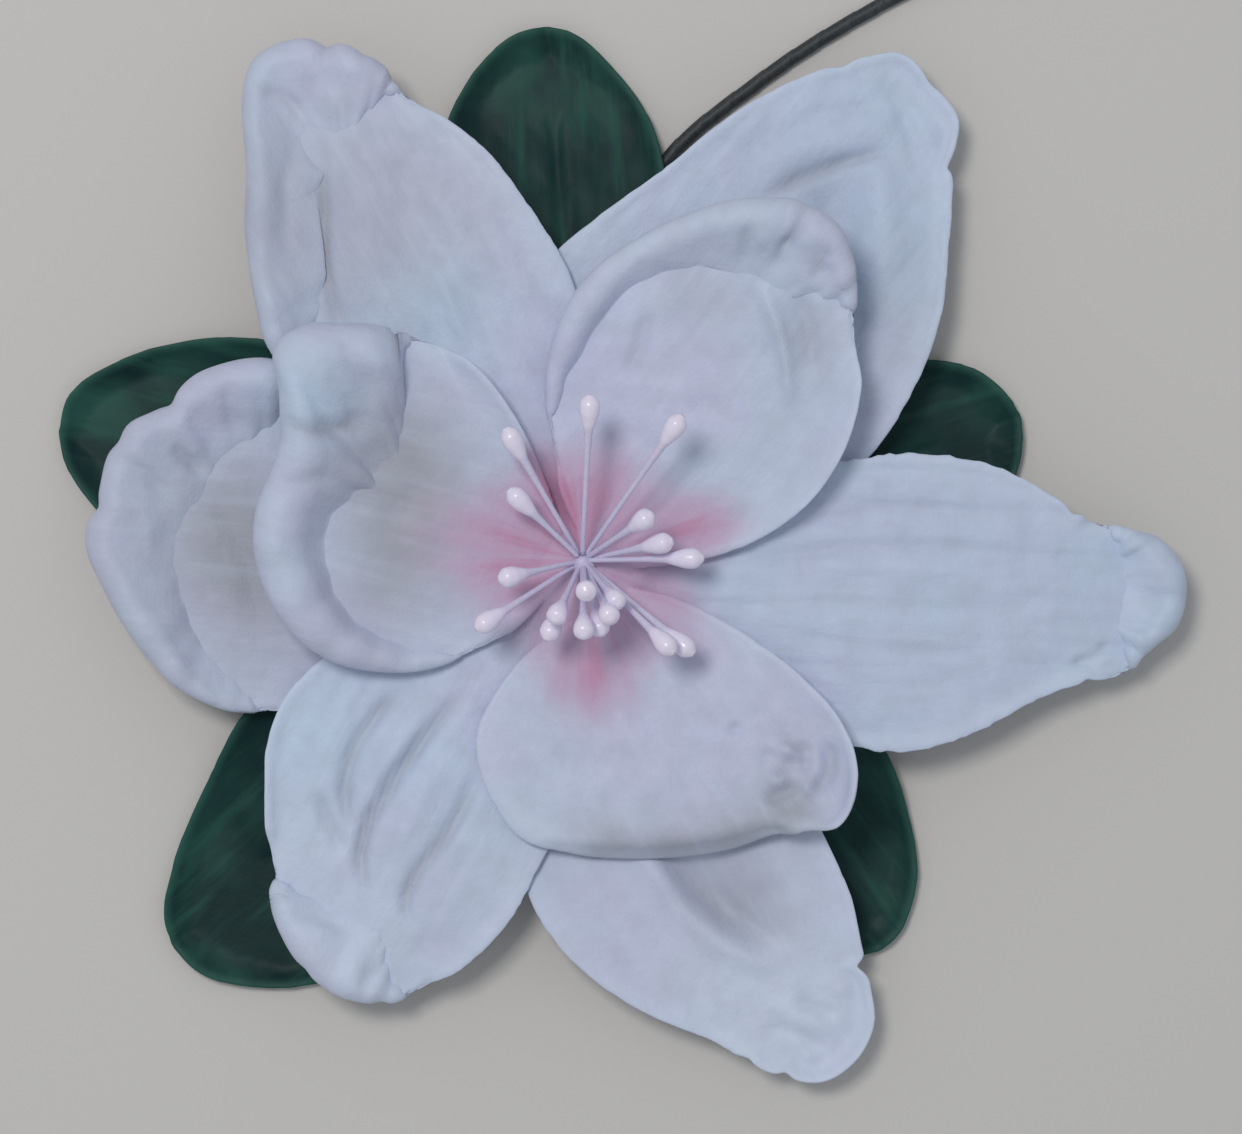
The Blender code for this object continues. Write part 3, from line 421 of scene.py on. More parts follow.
# Leaves: azimuth, how far that floor is stretched, where the midrib ends, and stations round the outline
LEAVES = {
    "leaf_1": dict(azimuth=20, stretch=0.84, spine=54, outline=[
        (16, 6.5), (30, 12), (44, 13.5), (54.5, 11.4), (60.5, 7.6), (63.6, 0.5), (60.5, -7), (54, -11),
        (44, -13), (30, -12), (16, -6.5),
    ]),
    "leaf_2": dict(azimuth=94, stretch=1.06, spine=67, outline=[
        (16, 6.5), (34, 13), (50, 15.8), (63, 14.6), (71, 9.6), (75.3, 3.5), (75, -2.5), (70.5, -7.6),
        (62, -12.9), (52, -14.4), (34, -12.5), (16, -6.5),
    ]),
    "leaf_3": dict(azimuth=165, stretch=1.0, spine=64, outline=[
        (16, 6.5), (34, 12), (50, 13.5), (60, 11.8), (68, 8), (74, 2.4), (75.4, -4.6), (70, -11.4),
        (60, -17.2), (48, -19.6), (34, -16.5), (16, -6.5),
    ]),
    "leaf_4": dict(azimuth=-138, stretch=1.0, spine=64, outline=[
        (16, 6.5), (34, 14.5), (50, 18.4), (63, 17.8), (71.5, 12), (76.5, 4), (75.5, -2.5), (69, -8),
        (58, -13.2), (46, -17), (32, -14), (16, -6.5),
    ]),
    "leaf_5": dict(azimuth=-52, stretch=0.88, spine=56, outline=[
        (16, 6.5), (30, 14), (43.5, 17.2), (53, 14.6), (61.5, 9.6), (65.8, 2), (62, -6), (54, -11),
        (44, -14), (30, -12), (16, -6.5),
    ]),
}

# A leaf's veins: how deep the midrib and the side veins are pressed, how wide, as a share of their spacing
# for the side veins, how steeply these run outwards, and how far from the margin they fade
LEAF_LOOK = dict(notches=[], uneven=0.5, veins=0.6)
MIDRIB_DEPTH = 0.45
MIDRIB_WIDTH = 0.9
SIDE_VEIN_DEPTH = 0.12
SIDE_VEIN_WIDTH = 0.09
SIDE_VEIN_SPACING = 6.5
SIDE_VEIN_SLANT = 1.25
SIDE_VEIN_FADE = 3

# Receptacle: radius and height of its turned outline, from its top down to the flat spot it rests on. Its
# skin is uneven by a depth, with lumps of a width in noise that is read round a circle, and smooth towards
# the surface it rests on from a height down. Flat discs close its ends.
RECEPTACLE_OUTLINE = [
    (2.6, 13.8), (3.3, 13.4), (3.6, 11.0), (4.1, 9.2), (5.0, 7.7), (5.9, 6.0), (6.1, 3.6), (5.4, 1.5),
    (3.2, 0.0),
]
RECEPTACLE_SIDES = 96
RECEPTACLE_STEPS = 60
RECEPTACLE_UNEVEN = 0.12
RECEPTACLE_SEED = 401
TURNED_LUMPS = 2.0
TURNED_ROUND = 6
TURNED_CALM = 2
END_DISC = 0.4

# Stem: a bent wire wound with tape, and the hole in the receptacle's side that it goes into. At the cut end
# the wire sticks out: how far past the tape's end, and its radius there as a share.
STEM_RADIUS = 1.0
SOCKET_RADIUS = 1.3
SOCKET_END = 2.4
SOCKET_SIDES = 32
STEM_SIDES = 20
STEM_STEPS = 560
TAPE_PITCH = 5.0
TAPE_THICKNESS = 0.09
WIRE_RADIUS = 0.55
WIRE_END = [(-1.0, 1.0), (-0.1, 1.0), (0.05, 0.9), (0.1, 0.6)]
STEM_ROUTE = [
    (0.3, 2.8, 2.2), (0.3, 6.5, 2.2), (0.8, 12.0, 1.9), (1.8, 22.0, 1.25), (4.3, 40.0, 1.05),
    (10.3, 56.4, 1.05), (24.3, 68.8, 1.05), (40.6, 79.1, 1.05), (62.0, 89.0, 1.05), (86.0, 97.0, 1.05),
    (108.0, 103.0, 1.05),
]

# Stamens rise from a short core. Each is given by its head's azimuth, distance and height. Its points crowd
# towards the tip of the head, and it is tinted as a head from a place on its outline on.
CORE_LINE = [(-0.1, 1.2, 14.1), (-0.1, 1.2, 14.8), (-0.3, 2.0, 17.4)]
CORE_RADIUS = 1.5
CORE_SIDES = 40
CORE_STRANDS = 9
CORE_STRAND_DEPTH = 0.14
CORE_TIP = 0.02
FILAMENT_RADIUS = 0.36
HEAD_RADIUS = 1.4
HEAD_LENGTH = 4.2
HEAD_START = 0.9
HEAD_SPAN = 0.35
HEAD_CROWDING = 1.5
STAMEN_SIDES = 16
STAMEN_STEPS = 44
STAMEN_ROOT_SPREAD = 0.9
STAMEN_ROOT_DEPTH = 1.0
STAMEN_ROOT_STEP = 0.5
STAMEN_ROOT_LEVELS = 3
STAMEN_RISE = 0.62
STAMEN_BEND = 0.3
# The outline of one stamen: 0 to 1 runs up the filament, 1 to 2 along its head
STAMEN_OUTLINE = [
    (0.0, FILAMENT_RADIUS), (0.4, FILAMENT_RADIUS), (0.8, 0.42), (1.0, 0.6), (1.25, 0.7 * HEAD_RADIUS),
    (1.6, HEAD_RADIUS), (1.85, 0.85 * HEAD_RADIUS), (2.0, 0.3 * HEAD_RADIUS),
]
STAMENS = [
    (87, 22.0, 27.0), (55, 23.4, 28.0), (120, 20.4, 24.0), (136, 13.7, 21.0), (33, 11.3, 26.0),
    (12, 12.5, 22.5), (1, 16.4, 21.0), (193, 11.4, 24.0), (213, 16.9, 24.0), (279, 4.5, 32.0),
    (246, 9.0, 28.0), (246, 11.7, 24.0), (272, 10.3, 29.0), (285, 10.4, 25.5), (297, 9.0, 31.0),
    (310, 8.0, 27.5), (315, 17.5, 26.0), (320, 19.6, 22.5),
]

# The pad of foam that closes the throat: radius and height of its turned outline, how uneven it is, and how
# far its foam is from any margin
PAD_OUTLINE = [
    (0.3, 14.9), (2.0, 14.75), (3.5, 14.35), (4.8, 13.95), (6.0, 13.45), (7.2, 12.8), (8.4, 12.2),
    (9.8, 11.7), (11.4, 11.2), (11.4, 10.9), (0.3, 10.9),
]
PAD_UNEVEN = 0.2
PAD_LUMPS = 1.6
PAD_SEED = 403
PAD_TO_MARGIN = 60.0

# The pink blush at the throat: its middle, how far it fades out, and the spots where it is strongest,
# each with x, y, how long it is towards the middle, how wide and how strong
THROAT = (-0.3, 2.1)
BLUSH_REACH = (6, 21)
BLUSH_BASE = 0.56
BLUSH_SPOTS = [
    (1.0, -14.2, 6.0, 6.4, 0.6), (16.0, 6.6, 6.0, 4.4, 0.66), (-5.0, 12.0, 7.0, 2.8, 0.42),
    (2.5, 12.0, 7.0, 5.0, 0.22), (-14.5, 4.6, 10.5, 7.5, 0.4), (12.5, -7.0, 7.5, 4.5, 0.3),
]

# Colours in linear light, each with its alpha, and which of them is which tone of the tepals
FOAM = (0.58, 0.65, 0.80, 1)
FOAM_LILAC = (0.60, 0.61, 0.79, 1)
# Painted light: the tepals bluer and lighter where the light falls on them
FOAM_COOL_LIT = (0.55, 0.73, 0.90, 1)
# The paler streaks in the foam, and the painted light and the painted highlight along the rims
FOAM_PALE_AND_LIT = (0.70, 0.77, 0.92, 1)
# The darker mottling in the foam, and the painted shade in hollows, creases and under folds
FOAM_DARK_AND_SHADE = (0.40, 0.41, 0.47, 1)
TONES = {"cool": FOAM_COOL_LIT, "pale": FOAM_PALE_AND_LIT, "shade": FOAM_DARK_AND_SHADE}
BLUSH_SOFT = (0.58, 0.39, 0.555, 1)
BLUSH_STRONG = (0.57, 0.25, 0.40, 1)
LEAF_DARK = (0.006, 0.028, 0.029, 1)
LEAF_MID = (0.012, 0.054, 0.048, 1)
LEAF_LIGHT = (0.030, 0.120, 0.090, 1)
TAPE_DARK = (0.022, 0.028, 0.032, 1)
TAPE_LIGHT = (0.050, 0.058, 0.062, 1)
WIRE_STEEL = (0.42, 0.42, 0.44, 1)
FILAMENT_LILAC = (0.74, 0.62, 0.80, 1)
PEARL = (0.90, 0.82, 0.97, 1)
FLOOR_PALE = (0.66, 0.63, 0.60, 1)
SKY = (0.86, 0.93, 1.0, 1)

# Grain of each material: hills to the metre, layers of finer ones and how rough those are, and how far some
# of it is stretched along the sheet, outwards from the throat or along the stem
FOAM_DRIFT = (55.0, 2.0)
FOAM_MOTTLE = (260.0, 4.0, 0.6)
FOAM_STREAKS = (420.0, 3.0)
STREAK_STRETCH = 9.0
FOAM_FINE = (2600.0, 2.0)
FOAM_PRESSED = (900.0, 3.0)
PRESSED_STRETCH = 5.0
FOAM_PORES = (330.0, 3.0)
THROAT_RAYS = (7.0, 2.0)
RAY_STRETCH = 12.0
LEAF_BRUSH = (300.0, 4.0, 0.6)
BRUSH_STRETCH = 8.0
LEAF_PATCHES = (75.0, 3.0)
LEAF_FINE = (1500.0, 2.0)
RECEPTACLE_PORES = (700.0, 4.0, 0.6)
TAPE_CREPE = (700.0, 3.0, 0.6)
CREPE_STRETCH = 0.25
WIRE_SCRATCHES = (4000.0, 3.0)
THREAD_FIBRES = (1800.0, 2.0)
FLOOR_GRAIN = (900.0, 2.0)

# The even light, the key light's place, size, power and colour, and the floor
WORLD_STRENGTH = 0.42
KEY_PLACE = (-170, 190, 760)
KEY_SIZE = 190
KEY_WATTS = 2.3
KEY_COLOUR = (1.0, 0.99, 0.97)
FLOOR_HALF_WIDTH = 1600


def smooth(share):
    """A share between 0 and 1, eased in and out."""
    share = np.clip(share, 0, 1)
    return share * share * (3 - 2 * share)


def ramp(value, low, high):
    """0 up to the low value and 1 from the high one, eased between them."""
    return smooth((value - low) / (high - low))


def through(places, values, wanted):
    """A smooth curve through values at increasing places, read at the wanted places."""
    places, values, wanted = (np.asarray(column, float) for column in (places, values, wanted))
    slopes = np.gradient(values, places)
    i = np.clip(np.searchsorted(places, wanted) - 1, 0, len(places) - 2)
    span = places[i + 1] - places[i]
    t = np.clip((wanted - places[i]) / span, 0, 1)
    return (
        values[i] * (2 * t**3 - 3 * t**2 + 1)
        + slopes[i] * span * (t**3 - 2 * t**2 + t)
        + values[i + 1] * (3 * t**2 - 2 * t**3)
        + slopes[i + 1] * span * (t**3 - t**2)
    )


def eased(places, values, wanted):
    """Values at increasing places, read at the wanted places, easing from each to the next."""
    i = np.clip(np.searchsorted(places, wanted) - 1, 0, len(places) - 2)
    return values[i] + (values[i + 1] - values[i]) * ramp(wanted, places[i], places[i + 1])


def distances_along(points):
    """How far along a line each of its points is."""
    steps = np.linalg.norm(np.diff(points, axis=0), axis=1)
    return np.concatenate([[0], np.cumsum(steps)])


def resampled(line, count):
    """That many points evenly along a smooth curve through a line's points, and how far along each is."""
    line = np.array(line, float)
    walked = distances_along(line)
    fine = np.linspace(0, walked[-1], count)
    return np.stack([through(walked, column, fine) for column in line.T], 1), fine


def noise(places, cell, seed):
    """Smooth noise between -1 and 1 over the plane, with hills about a cell across."""
    lattice = np.random.default_rng(seed).uniform(-1, 1, (LATTICE, LATTICE))
    at = np.asarray(places, float) / cell
    corner = np.floor(at).astype(int)
    share = smooth(at - corner)
    x, y = corner[..., 0] % LATTICE, corner[..., 1] % LATTICE
    x_next, y_next = (x + 1) % LATTICE, (y + 1) % LATTICE
    near = lattice[x, y] * (1 - share[..., 0]) + lattice[x_next, y] * share[..., 0]
    far = lattice[x, y_next] * (1 - share[..., 0]) + lattice[x_next, y_next] * share[..., 0]
    return near * (1 - share[..., 1]) + far * share[..., 1]


def noise_along(walked, cell, seed):
    """Smooth noise between -1 and 1 along a line."""
    return noise(np.stack([walked, np.zeros_like(walked)], -1), cell, seed)


def beside(places, route, width):
    """1 on a route, falling off to its sides over the width and towards its ends."""
    route = resampled(route, ROUTE_POINTS)[0]
    walked = distances_along(route)
    steps = np.diff(route, axis=0)
    lengths = np.linalg.norm(steps, axis=1)
    offsets = places[..., None, :] - route[:-1]
    share = np.clip((offsets * steps).sum(-1) / lengths**2, 0, 1)
    gaps = np.linalg.norm(offsets - share[..., None] * steps, axis=-1)
    nearest = gaps.argmin(-1)[..., None]
    gap = np.take_along_axis(gaps, nearest, -1)[..., 0]
    place = np.take_along_axis(walked[:-1] + share * lengths, nearest, -1)[..., 0]
    ends = np.minimum(place, walked[-1] - place) / (END_TAPER * walked[-1])
    return np.exp(-((gap / width) ** 2)) * smooth(ends)


def spot(places, x, y, radius):
    """1 at a place, falling off over the radius."""
    return np.exp(-(((places - (x, y)) ** 2).sum(-1)) / radius**2)


def on_plan(sheet, points):
    """A sheet's own distances out and to the left, turned to its azimuth."""
    azimuth = math.radians(sheet["azimuth"])
    out, left = points[..., 0], points[..., 1]
    x = out * math.cos(azimuth) - left * math.sin(azimuth)
    y = out * math.sin(azimuth) + left * math.cos(azimuth)
    return np.stack([x, y], -1)


def laid_stations(fold):
    """The stations of a margin that is laid back, with the ends of its fold."""
    first, last = ((*fold[end], FOLD_START, *FOLD_END) for end in (0, -1))
    return [first, *((*place[:2], LAID_ROLL, *(place[2:] or FOLD_END)) for place in fold[1:-1]), last]


def stations(sheet):
    """The edge's stations, with one at each end of the root, each with its turn, bend and lip."""
    out, half_width = sheet["seat"][0], sheet["root_half_width"]
    edge = [(out, half_width, ROOT_ROLL)]
    for part in sheet["edge"]:
        edge += laid_stations(part) if isinstance(part, list) else [part]
    edge.append((out, -half_width, ROOT_ROLL))
    return np.array([(*station, *USUAL_MARGIN[len(station) - 3:]) for station in edge], float)


def edge_samples(sheet, spine_steps, fan_steps):
    """The edge resampled up the left side, round the tip and down the right, and how far along each is."""
    edge = stations(sheet)
    walked = distances_along(edge[:, :2])
    fine = np.linspace(0, walked[-1], EDGE_SAMPLES)
    out = through(walked, edge[:, 0], fine)
    tip = int(np.argmax(out))
    fan_from = np.interp(sheet["spine"], np.maximum.accumulate(out[:tip]), fine[:tip])
    fan_to = np.interp(sheet["spine"], np.maximum.accumulate(out[:tip:-1]), fine[:tip:-1])
    wanted = np.concatenate([
        np.linspace(0, fan_from, spine_steps + 1),
        np.linspace(fan_from, fan_to, fan_steps + 1)[1:-1],
        np.linspace(fan_to, walked[-1], spine_steps + 1),
    ])
    outline = [through(walked, column, wanted) for column in edge[:, :2].T]
    margin = [eased(walked, column, wanted) for column in edge[:, 2:].T]
    return np.stack(outline + margin, 1), wanted


def spine_feet(sheet, edge, spine_steps):
    """The midrib's points, as distances from the axis: each lies between its two edge samples."""
    left, right = edge[: spine_steps + 1, 0], edge[::-1][: spine_steps + 1, 0]
    feet = np.clip((left + right) / 2, edge[0, 0], sheet["spine"])
    feet[0], feet[-1] = edge[0, 0], sheet["spine"]
    return feet


def work_margin(edge, walked, look, seed):
    """Makes the turned margin uneven, as a margin rolled by hand is."""
    rolled = look["uneven"] * np.clip(np.abs(edge[:, 2]) / FULLY_ROLLED, 0, 1)
    edge[:, 2] += ROLL_UNEVEN * rolled * noise_along(walked, ROLL_LUMPS, seed)
    edge[:, 3] *= 1 + BEND_UNEVEN * rolled * noise_along(walked, BEND_LUMPS, seed + 1)
    edge[:, 4] *= 1 + LIP_UNEVEN * rolled * noise_along(walked, LIP_LUMPS, seed + 2)
    return edge


def bites(sheet, edge, walked, look, seed):
    """How far the outline is nibbled and notched in at each edge sample. The lip is shortened there too."""
    depth = (NIBBLE + look.get("nibbled", 0)) * np.abs(noise_along(walked, NIBBLE_WIDTH, seed + 3))
    depth *= 1 - smooth(np.abs(edge[:, 2]) / FULLY_ROLLED)
    outline = on_plan(sheet, edge)
    for x, y, notch, width in look["notches"]:
        depth += notch * spot(outline, x, y, width)
    edge[:, 4] = np.maximum(edge[:, 4] - NOTCHED_LIP * depth, LEAST_LIP)
    return depth


def laid_back(roll, bend, lip):
    """How far a margin turns in radians, the share by which it is laid back on its own sheet, and with that
    share how far it lands in a sweep the other way, and what is left of its straight lip."""
    share = ramp(abs(roll), *LAID_BACK)
    landing = min(LANDING * bend, lip) * share
    straight = lip - landing
    arm = math.hypot(bend + landing, straight)
    height = min(LAID_HEIGHT, bend - SMALL_FOLD)
    drop = np.clip((bend - landing - height) / arm, -1, 1)
    down = math.pi + math.atan2(bend + landing, straight) + math.asin(drop)
    turn = math.radians(max(abs(roll), LEAST_ROLL))
    return turn + (down - turn) * share, share, landing, straight


def margin_path(reach, roll, bend, lip, rings):
    """A ring line from the midrib to the rim: how far out, up and along it each point is, how far folded as
    a share of the turn, how far from the rim, and that as a share of the rounding. This starts further in
    where the fold is small, so that the turned margin sinks into it."""
    turn, laid, landing, straight = laid_back(roll, bend, lip)
    widest = math.sin(min(turn, math.pi / 2))
    bend = min(bend, WIDEST_BEND * reach / widest)
    flat = reach - bend * widest
    swept = max(turn - math.pi, 0) if landing else 0
    marks = np.cumsum([0, flat, bend * turn, straight + landing * swept])
    parts = [np.linspace(marks[i], marks[i + 1], rings[i] + 1)[1:] for i in range(3)]
    aligned = np.concatenate(parts)
    evenly = np.linspace(0, marks[3], sum(rings) + 1)[1:]
    laid *= smooth((bend + lip) / FULL_FOLD)
    rounding = RIM_ROUNDING + (LAID_ROUNDING - RIM_ROUNDING) * laid
    walked = (aligned + RING_EVENNESS * (evenly - aligned)) * (marks[3] - rounding) / marks[3]
    rim = rounding * np.sin(np.linspace(0, math.pi / 2, RIM_STEPS + 1)[1:])
    walked = np.concatenate([walked, marks[3] - rounding + rim])
    angle = np.clip((walked - flat) / bend, 0, turn)
    past = np.clip(walked - marks[2], 0, straight)
    outward = np.minimum(walked, flat) + bend * np.sin(angle) + past * math.cos(turn)
    upward = bend * (1 - np.cos(angle)) + past * math.sin(turn)
    if landing:
        levelling = turn - np.clip((walked - marks[2] - straight) / landing, 0, swept)
        outward += landing * (math.sin(turn) - np.sin(levelling))
        upward += landing * (np.cos(levelling) - math.cos(turn))
    to_rim = marks[3] - walked
    sunk = (marks[3] - flat) * (1 - smooth(bend / SMALL_FOLD))
    inset = (to_rim - sunk) / rounding
    return outward, math.copysign(1, roll) * upward, walked, angle / turn, to_rim, inset


def floor_height(sheet, out):
    """The height of a sheet's middle at distances from the axis."""
    return through(*zip(sheet["seat"], *sheet["floor"]), out)


def root_calm(local):
    """0 at a sheet's root and 1 further out, where it is worked by hand."""
    return ramp(local[:, 0], *ROOT_CALM)


def swell(look, local, seed):
    """How far a sheet is lifted at each point: it is never quite level, and creased lengthwise."""
    height = SWELL * noise(local, SWELL_WIDTH, seed + 4)
    height += WORKING * noise(local, WORKING_WIDTH, seed + 5)
    height += look["veins"] * CREASE * noise(local / (CREASE_STRETCH, 1), CREASE_WIDTH, seed + 6)
    return height * root_calm(local)


def relief(look, plan, local, folded, roll, bend, to_margin, seed):
    """How far a sheet's surface stands up at each point, pressed and worked by hand, and how steeply it is
    pressed in there, which sets the painted shade in its creases.

    The turned-over lip faces the other way, so what is pressed into it from above is raised here. Towards
    its free edge it is left as it is, lying on its own sheet, and so are small folds.
    """
    on_lip = smooth((folded - LIP_START) / LIP_SPAN) * ramp(roll, FULLY_ROLLED, 2 * FULLY_ROLLED)
    lifted = on_lip * smooth(to_margin / LIP_CALM) * smooth(bend / LUMPED_BEND)
    height = LUMPS * look["uneven"] * lifted * noise(local, LUMPS_WIDTH, seed + 7)
    pressed = np.zeros_like(height)
    for grooves, dents, where in (("grooves", "dents", 1 - on_lip), ("lip_grooves", "lip_dents", -lifted)):
        for depth, width, route in look.get(grooves, []):
            line = depth * beside(plan, route, width)
            height -= where * line
            pressed += np.abs(where) * np.maximum(line, 0) / width
        for x, y, radius, depth in look.get(dents, []):
            height -= where * depth * spot(plan, x, y, radius)
    return height * root_calm(local), pressed * root_calm(local)


def vein_relief(unrolled, to_margin):
    """A leaf's pressed midrib and its slanting side veins."""
    along, across = unrolled[..., 0], np.abs(unrolled[..., 1])
    inside = smooth(to_margin / SIDE_VEIN_FADE)
    midrib = MIDRIB_DEPTH * np.exp(-((across / MIDRIB_WIDTH) ** 2))
    phase = (along - SIDE_VEIN_SLANT * across) / SIDE_VEIN_SPACING
    from_vein = np.abs((phase + 0.5) % 1 - 0.5)
    return -midrib - SIDE_VEIN_DEPTH * inside * np.exp(-((from_vein / SIDE_VEIN_WIDTH) ** 2))


def blush_at(plan):
    """How pink each place is: a soft round blush at the throat with stronger spots."""
    amount = BLUSH_BASE * (1 - ramp(np.linalg.norm(plan - THROAT, axis=-1), *BLUSH_REACH))
    for x, y, length, width, strength in BLUSH_SPOTS:
        heading = np.array([x, y]) - THROAT
        heading /= np.linalg.norm(heading)
        offset = plan - (x, y)
        along = offset @ heading
        across = offset @ (-heading[1], heading[0])
        amount += strength * np.exp(-((along / length) ** 2) - (across / width) ** 2)
    return np.clip(amount, 0, 1)


def strips(index):
    """The faces of a grid of point numbers, with three corners where two of the four are one point."""
    corners = np.stack([index[:-1, :-1], index[1:, :-1], index[1:, 1:], index[:-1, 1:]], -1).reshape(-1, 4)
    return [list(dict.fromkeys(face)) for face in corners.tolist()]


def grid_normals(points, faces):
    """The unit normal at each point of a sheet."""
    normals = np.zeros_like(points)
    for count in (3, 4):
        corners = np.array([face for face in faces if len(face) == count])
        if len(corners):
            a, b, c, d = (points[corners[:, i]] for i in (0, 1, 2, count - 1))
            facing = np.cross(c - a, d - b) if count == 4 else np.cross(b - a, c - a)
            for corner in range(count):
                np.add.at(normals, corners[:, corner], facing)
    return normals / np.maximum(np.linalg.norm(normals, axis=1, keepdims=True), LEAST_LENGTH)


def sheet_surface(sheet, look, steps, rings, seed):
    """A sheet's middle surface and what each of its points knows about its own place on the sheet."""
    spine_steps, fan_steps = steps
    edge, walked = edge_samples(sheet, spine_steps, fan_steps)
    edge = work_margin(edge, walked, look, seed)
    bitten = bites(sheet, edge, walked, look, seed)
    feet = spine_feet(sheet, edge, spine_steps)
    midrib = np.stack([feet, np.zeros_like(feet)], 1)
    up = list(range(spine_steps))
    foot_of = up + [spine_steps] * (fan_steps + 1) + up[::-1]
    across = edge[:, :2] - midrib[foot_of]
    reaches = np.array([math.hypot(*step) for step in across])
    paths = [margin_path(reach - min(bite, reach / 2), *margin, rings)
             for reach, bite, margin in zip(reaches, bitten, edge[:, 2:])]
    outward, rise, along, folded, to_margin, inset = np.stack(paths, 1)
    heading = across / reaches[:, None]
    at_midrib_and_rings = dict(
        rise=(0, rise),
        folded=(0, folded),
        roll=(0, np.broadcast_to(edge[:, 2:3], rise.shape)),
        bend=(0, np.broadcast_to(edge[:, 3:4], rise.shape)),
        to_margin=(to_margin[:, 0].max(), to_margin),
        inset=(1, inset),
    )
    made = {name: np.append(np.full(len(feet), float(start)), rest)
            for name, (start, rest) in at_midrib_and_rings.items()}
    for name, gone in (("local", outward), ("unrolled", along)):
        places = midrib[foot_of][:, None] + gone[..., None] * heading[:, None]
        made[name] = np.concatenate([midrib, places.reshape(-1, 2)])
    made["index"] = np.column_stack([foot_of, len(feet) + np.arange(rise.size).reshape(rise.shape)])
    return made


def sheet_mesh(label, sheet, look, steps, rings, thickness, seed, veined=False):
    """A closed sheet with a rounded rim, worked on both faces alike, that stays above the surface."""
    made = sheet_surface(sheet, look, steps, rings, seed)
    out, plan = made["local"][:, 0], on_plan(sheet, made["local"])
    points = np.column_stack([plan, made["rise"] + floor_height(sheet, out)])
    index = made["index"]
    faces = strips(index)
    points[:, 2] += swell(look, made["local"], seed)
    margin = (made[name] for name in ("folded", "roll", "bend", "to_margin"))
    height, pressed = relief(look, plan, made["local"], *margin, seed)
    if veined:
        height += vein_relief(made["unrolled"], made["to_margin"])
    facing = grid_normals(points, faces)
    points += facing * height[:, None]
    points[:, 2] = np.maximum(points[:, 2], thickness / 2)
    half = np.sqrt(1 - (1 - np.clip(made["inset"], 0, 1)) ** RIM_POWER) * thickness / 2
    offset = facing * half[:, None]
    skins = np.concatenate([points + offset, points - offset])
    skins[:, 2] = np.maximum(skins[:, 2], 0)
    under = index + len(points)
    under[:, -1] = index[:, -1]
    faces += [face[::-1] for face in strips(under)]
    for top, low in ((index[0], under[0]), (index[-1][::-1], under[-1][::-1])):
        faces += [face[::-1] for face in strips(np.stack([top, low]))]
    mesh = bpy.data.meshes.new(label)
    mesh.from_pydata((skins * MM).tolist(), [], faces)
    note(mesh, "blush", np.append(blush_at(plan), np.zeros(len(plan))))
    # Painted light and shade on the tepal: its cool, pale and shade tones from the look's spots
    notes = {tone: 0 * out for tone in TONES}
    for tone in TONES:
        for x, y, radius, share in look.get(tone, []):
            notes[tone] += share * spot(plan, x, y, radius)
    # Painted shade in the creases, darker where they are pressed in more steeply
    notes["shade"] += CREASE_PAINTED_SHADE * smooth(pressed / FULL_CREASE)
    notes.update(to_margin=made["to_margin"], along=out, across=made["local"][:, 1])
    for name, values in notes.items():
        note(mesh, name, np.tile(values, 2))
    return tidied(mesh)


def note(mesh, name, values):
    """Keeps one number for each point of a mesh, for its finish to read."""
    mesh.attributes.new(name, "FLOAT", "POINT").data.foreach_set("value", np.asarray(values, np.float32))


def tidied(mesh):
    """Removes points that no face uses, and shades the mesh smooth."""
    made = bmesh.new()
    made.from_mesh(mesh)
    bmesh.ops.delete(made, geom=[vert for vert in made.verts if not vert.link_faces], context="VERTS")
    bmesh.ops.recalc_face_normals(made, faces=made.faces)
    made.to_mesh(mesh)
    made.free()
    mesh.shade_smooth()
    return mesh


def placed(name, data):
    """Adds an object to the scene."""
    made = bpy.data.objects.new(name, data)
    bpy.context.scene.collection.objects.link(made)
    return made


def piece(name, mesh, finish, slot, *nodes):
    """Adds a piece that rides on the flower, wears a finish and stands for its nodes."""
    made = placed(name, mesh)
    mesh.materials.append(finish)
    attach(made, "root")
    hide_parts(*nodes)


def fill(node, inputs):
    """Sets a node's inputs, or links them where they come out of another node."""
    for name, value in inputs.items():
        if isinstance(value, bpy.types.NodeSocket):
            node.id_data.links.new(value, node.inputs[name])
        else:
            node.inputs[name].default_value = value


def add(tree, kind, inputs, **settings):
    """Adds a node with its settings and inputs."""
    made = tree.nodes.new(kind)
    for name, value in settings.items():
        setattr(made, name, value)
    fill(made, inputs)
    return made


def mix(share, one, other):
    """A colour between two."""
    inputs = {0: share, 6: one, 7: other}
    return add(share.id_data, "ShaderNodeMix", inputs, data_type="RGBA", clamp_factor=True).outputs[2]


def maths(operation, one, other):
    """One step of arithmetic."""
    return add(one.id_data, "ShaderNodeMath", {0: one, 1: other}, operation=operation).outputs[0]


def between(value, low, high, to_low=0.0, to_high=1.0):
    """A value's place between two others, eased and stretched to a new span."""
    inputs = {"Value": value, "From Min": low, "From Max": high, "To Min": to_low, "To Max": to_high}
    return add(value.id_data, "ShaderNodeMapRange", inputs, interpolation_type="SMOOTHSTEP").outputs[0]


def noted(place, name):
    """What a mesh keeps under that name at a place."""
    return add(place.id_data, "ShaderNodeAttribute", {}, attribute_name=name).outputs["Fac"]


def grain(place, scale, detail, roughness=0.5):
    """Noise with that many hills to the metre."""
    inputs = {"Vector": place, "Scale": scale, "Detail": detail, "Roughness": roughness}
    return add(place.id_data, "ShaderNodeTexNoise", inputs).outputs["Fac"]


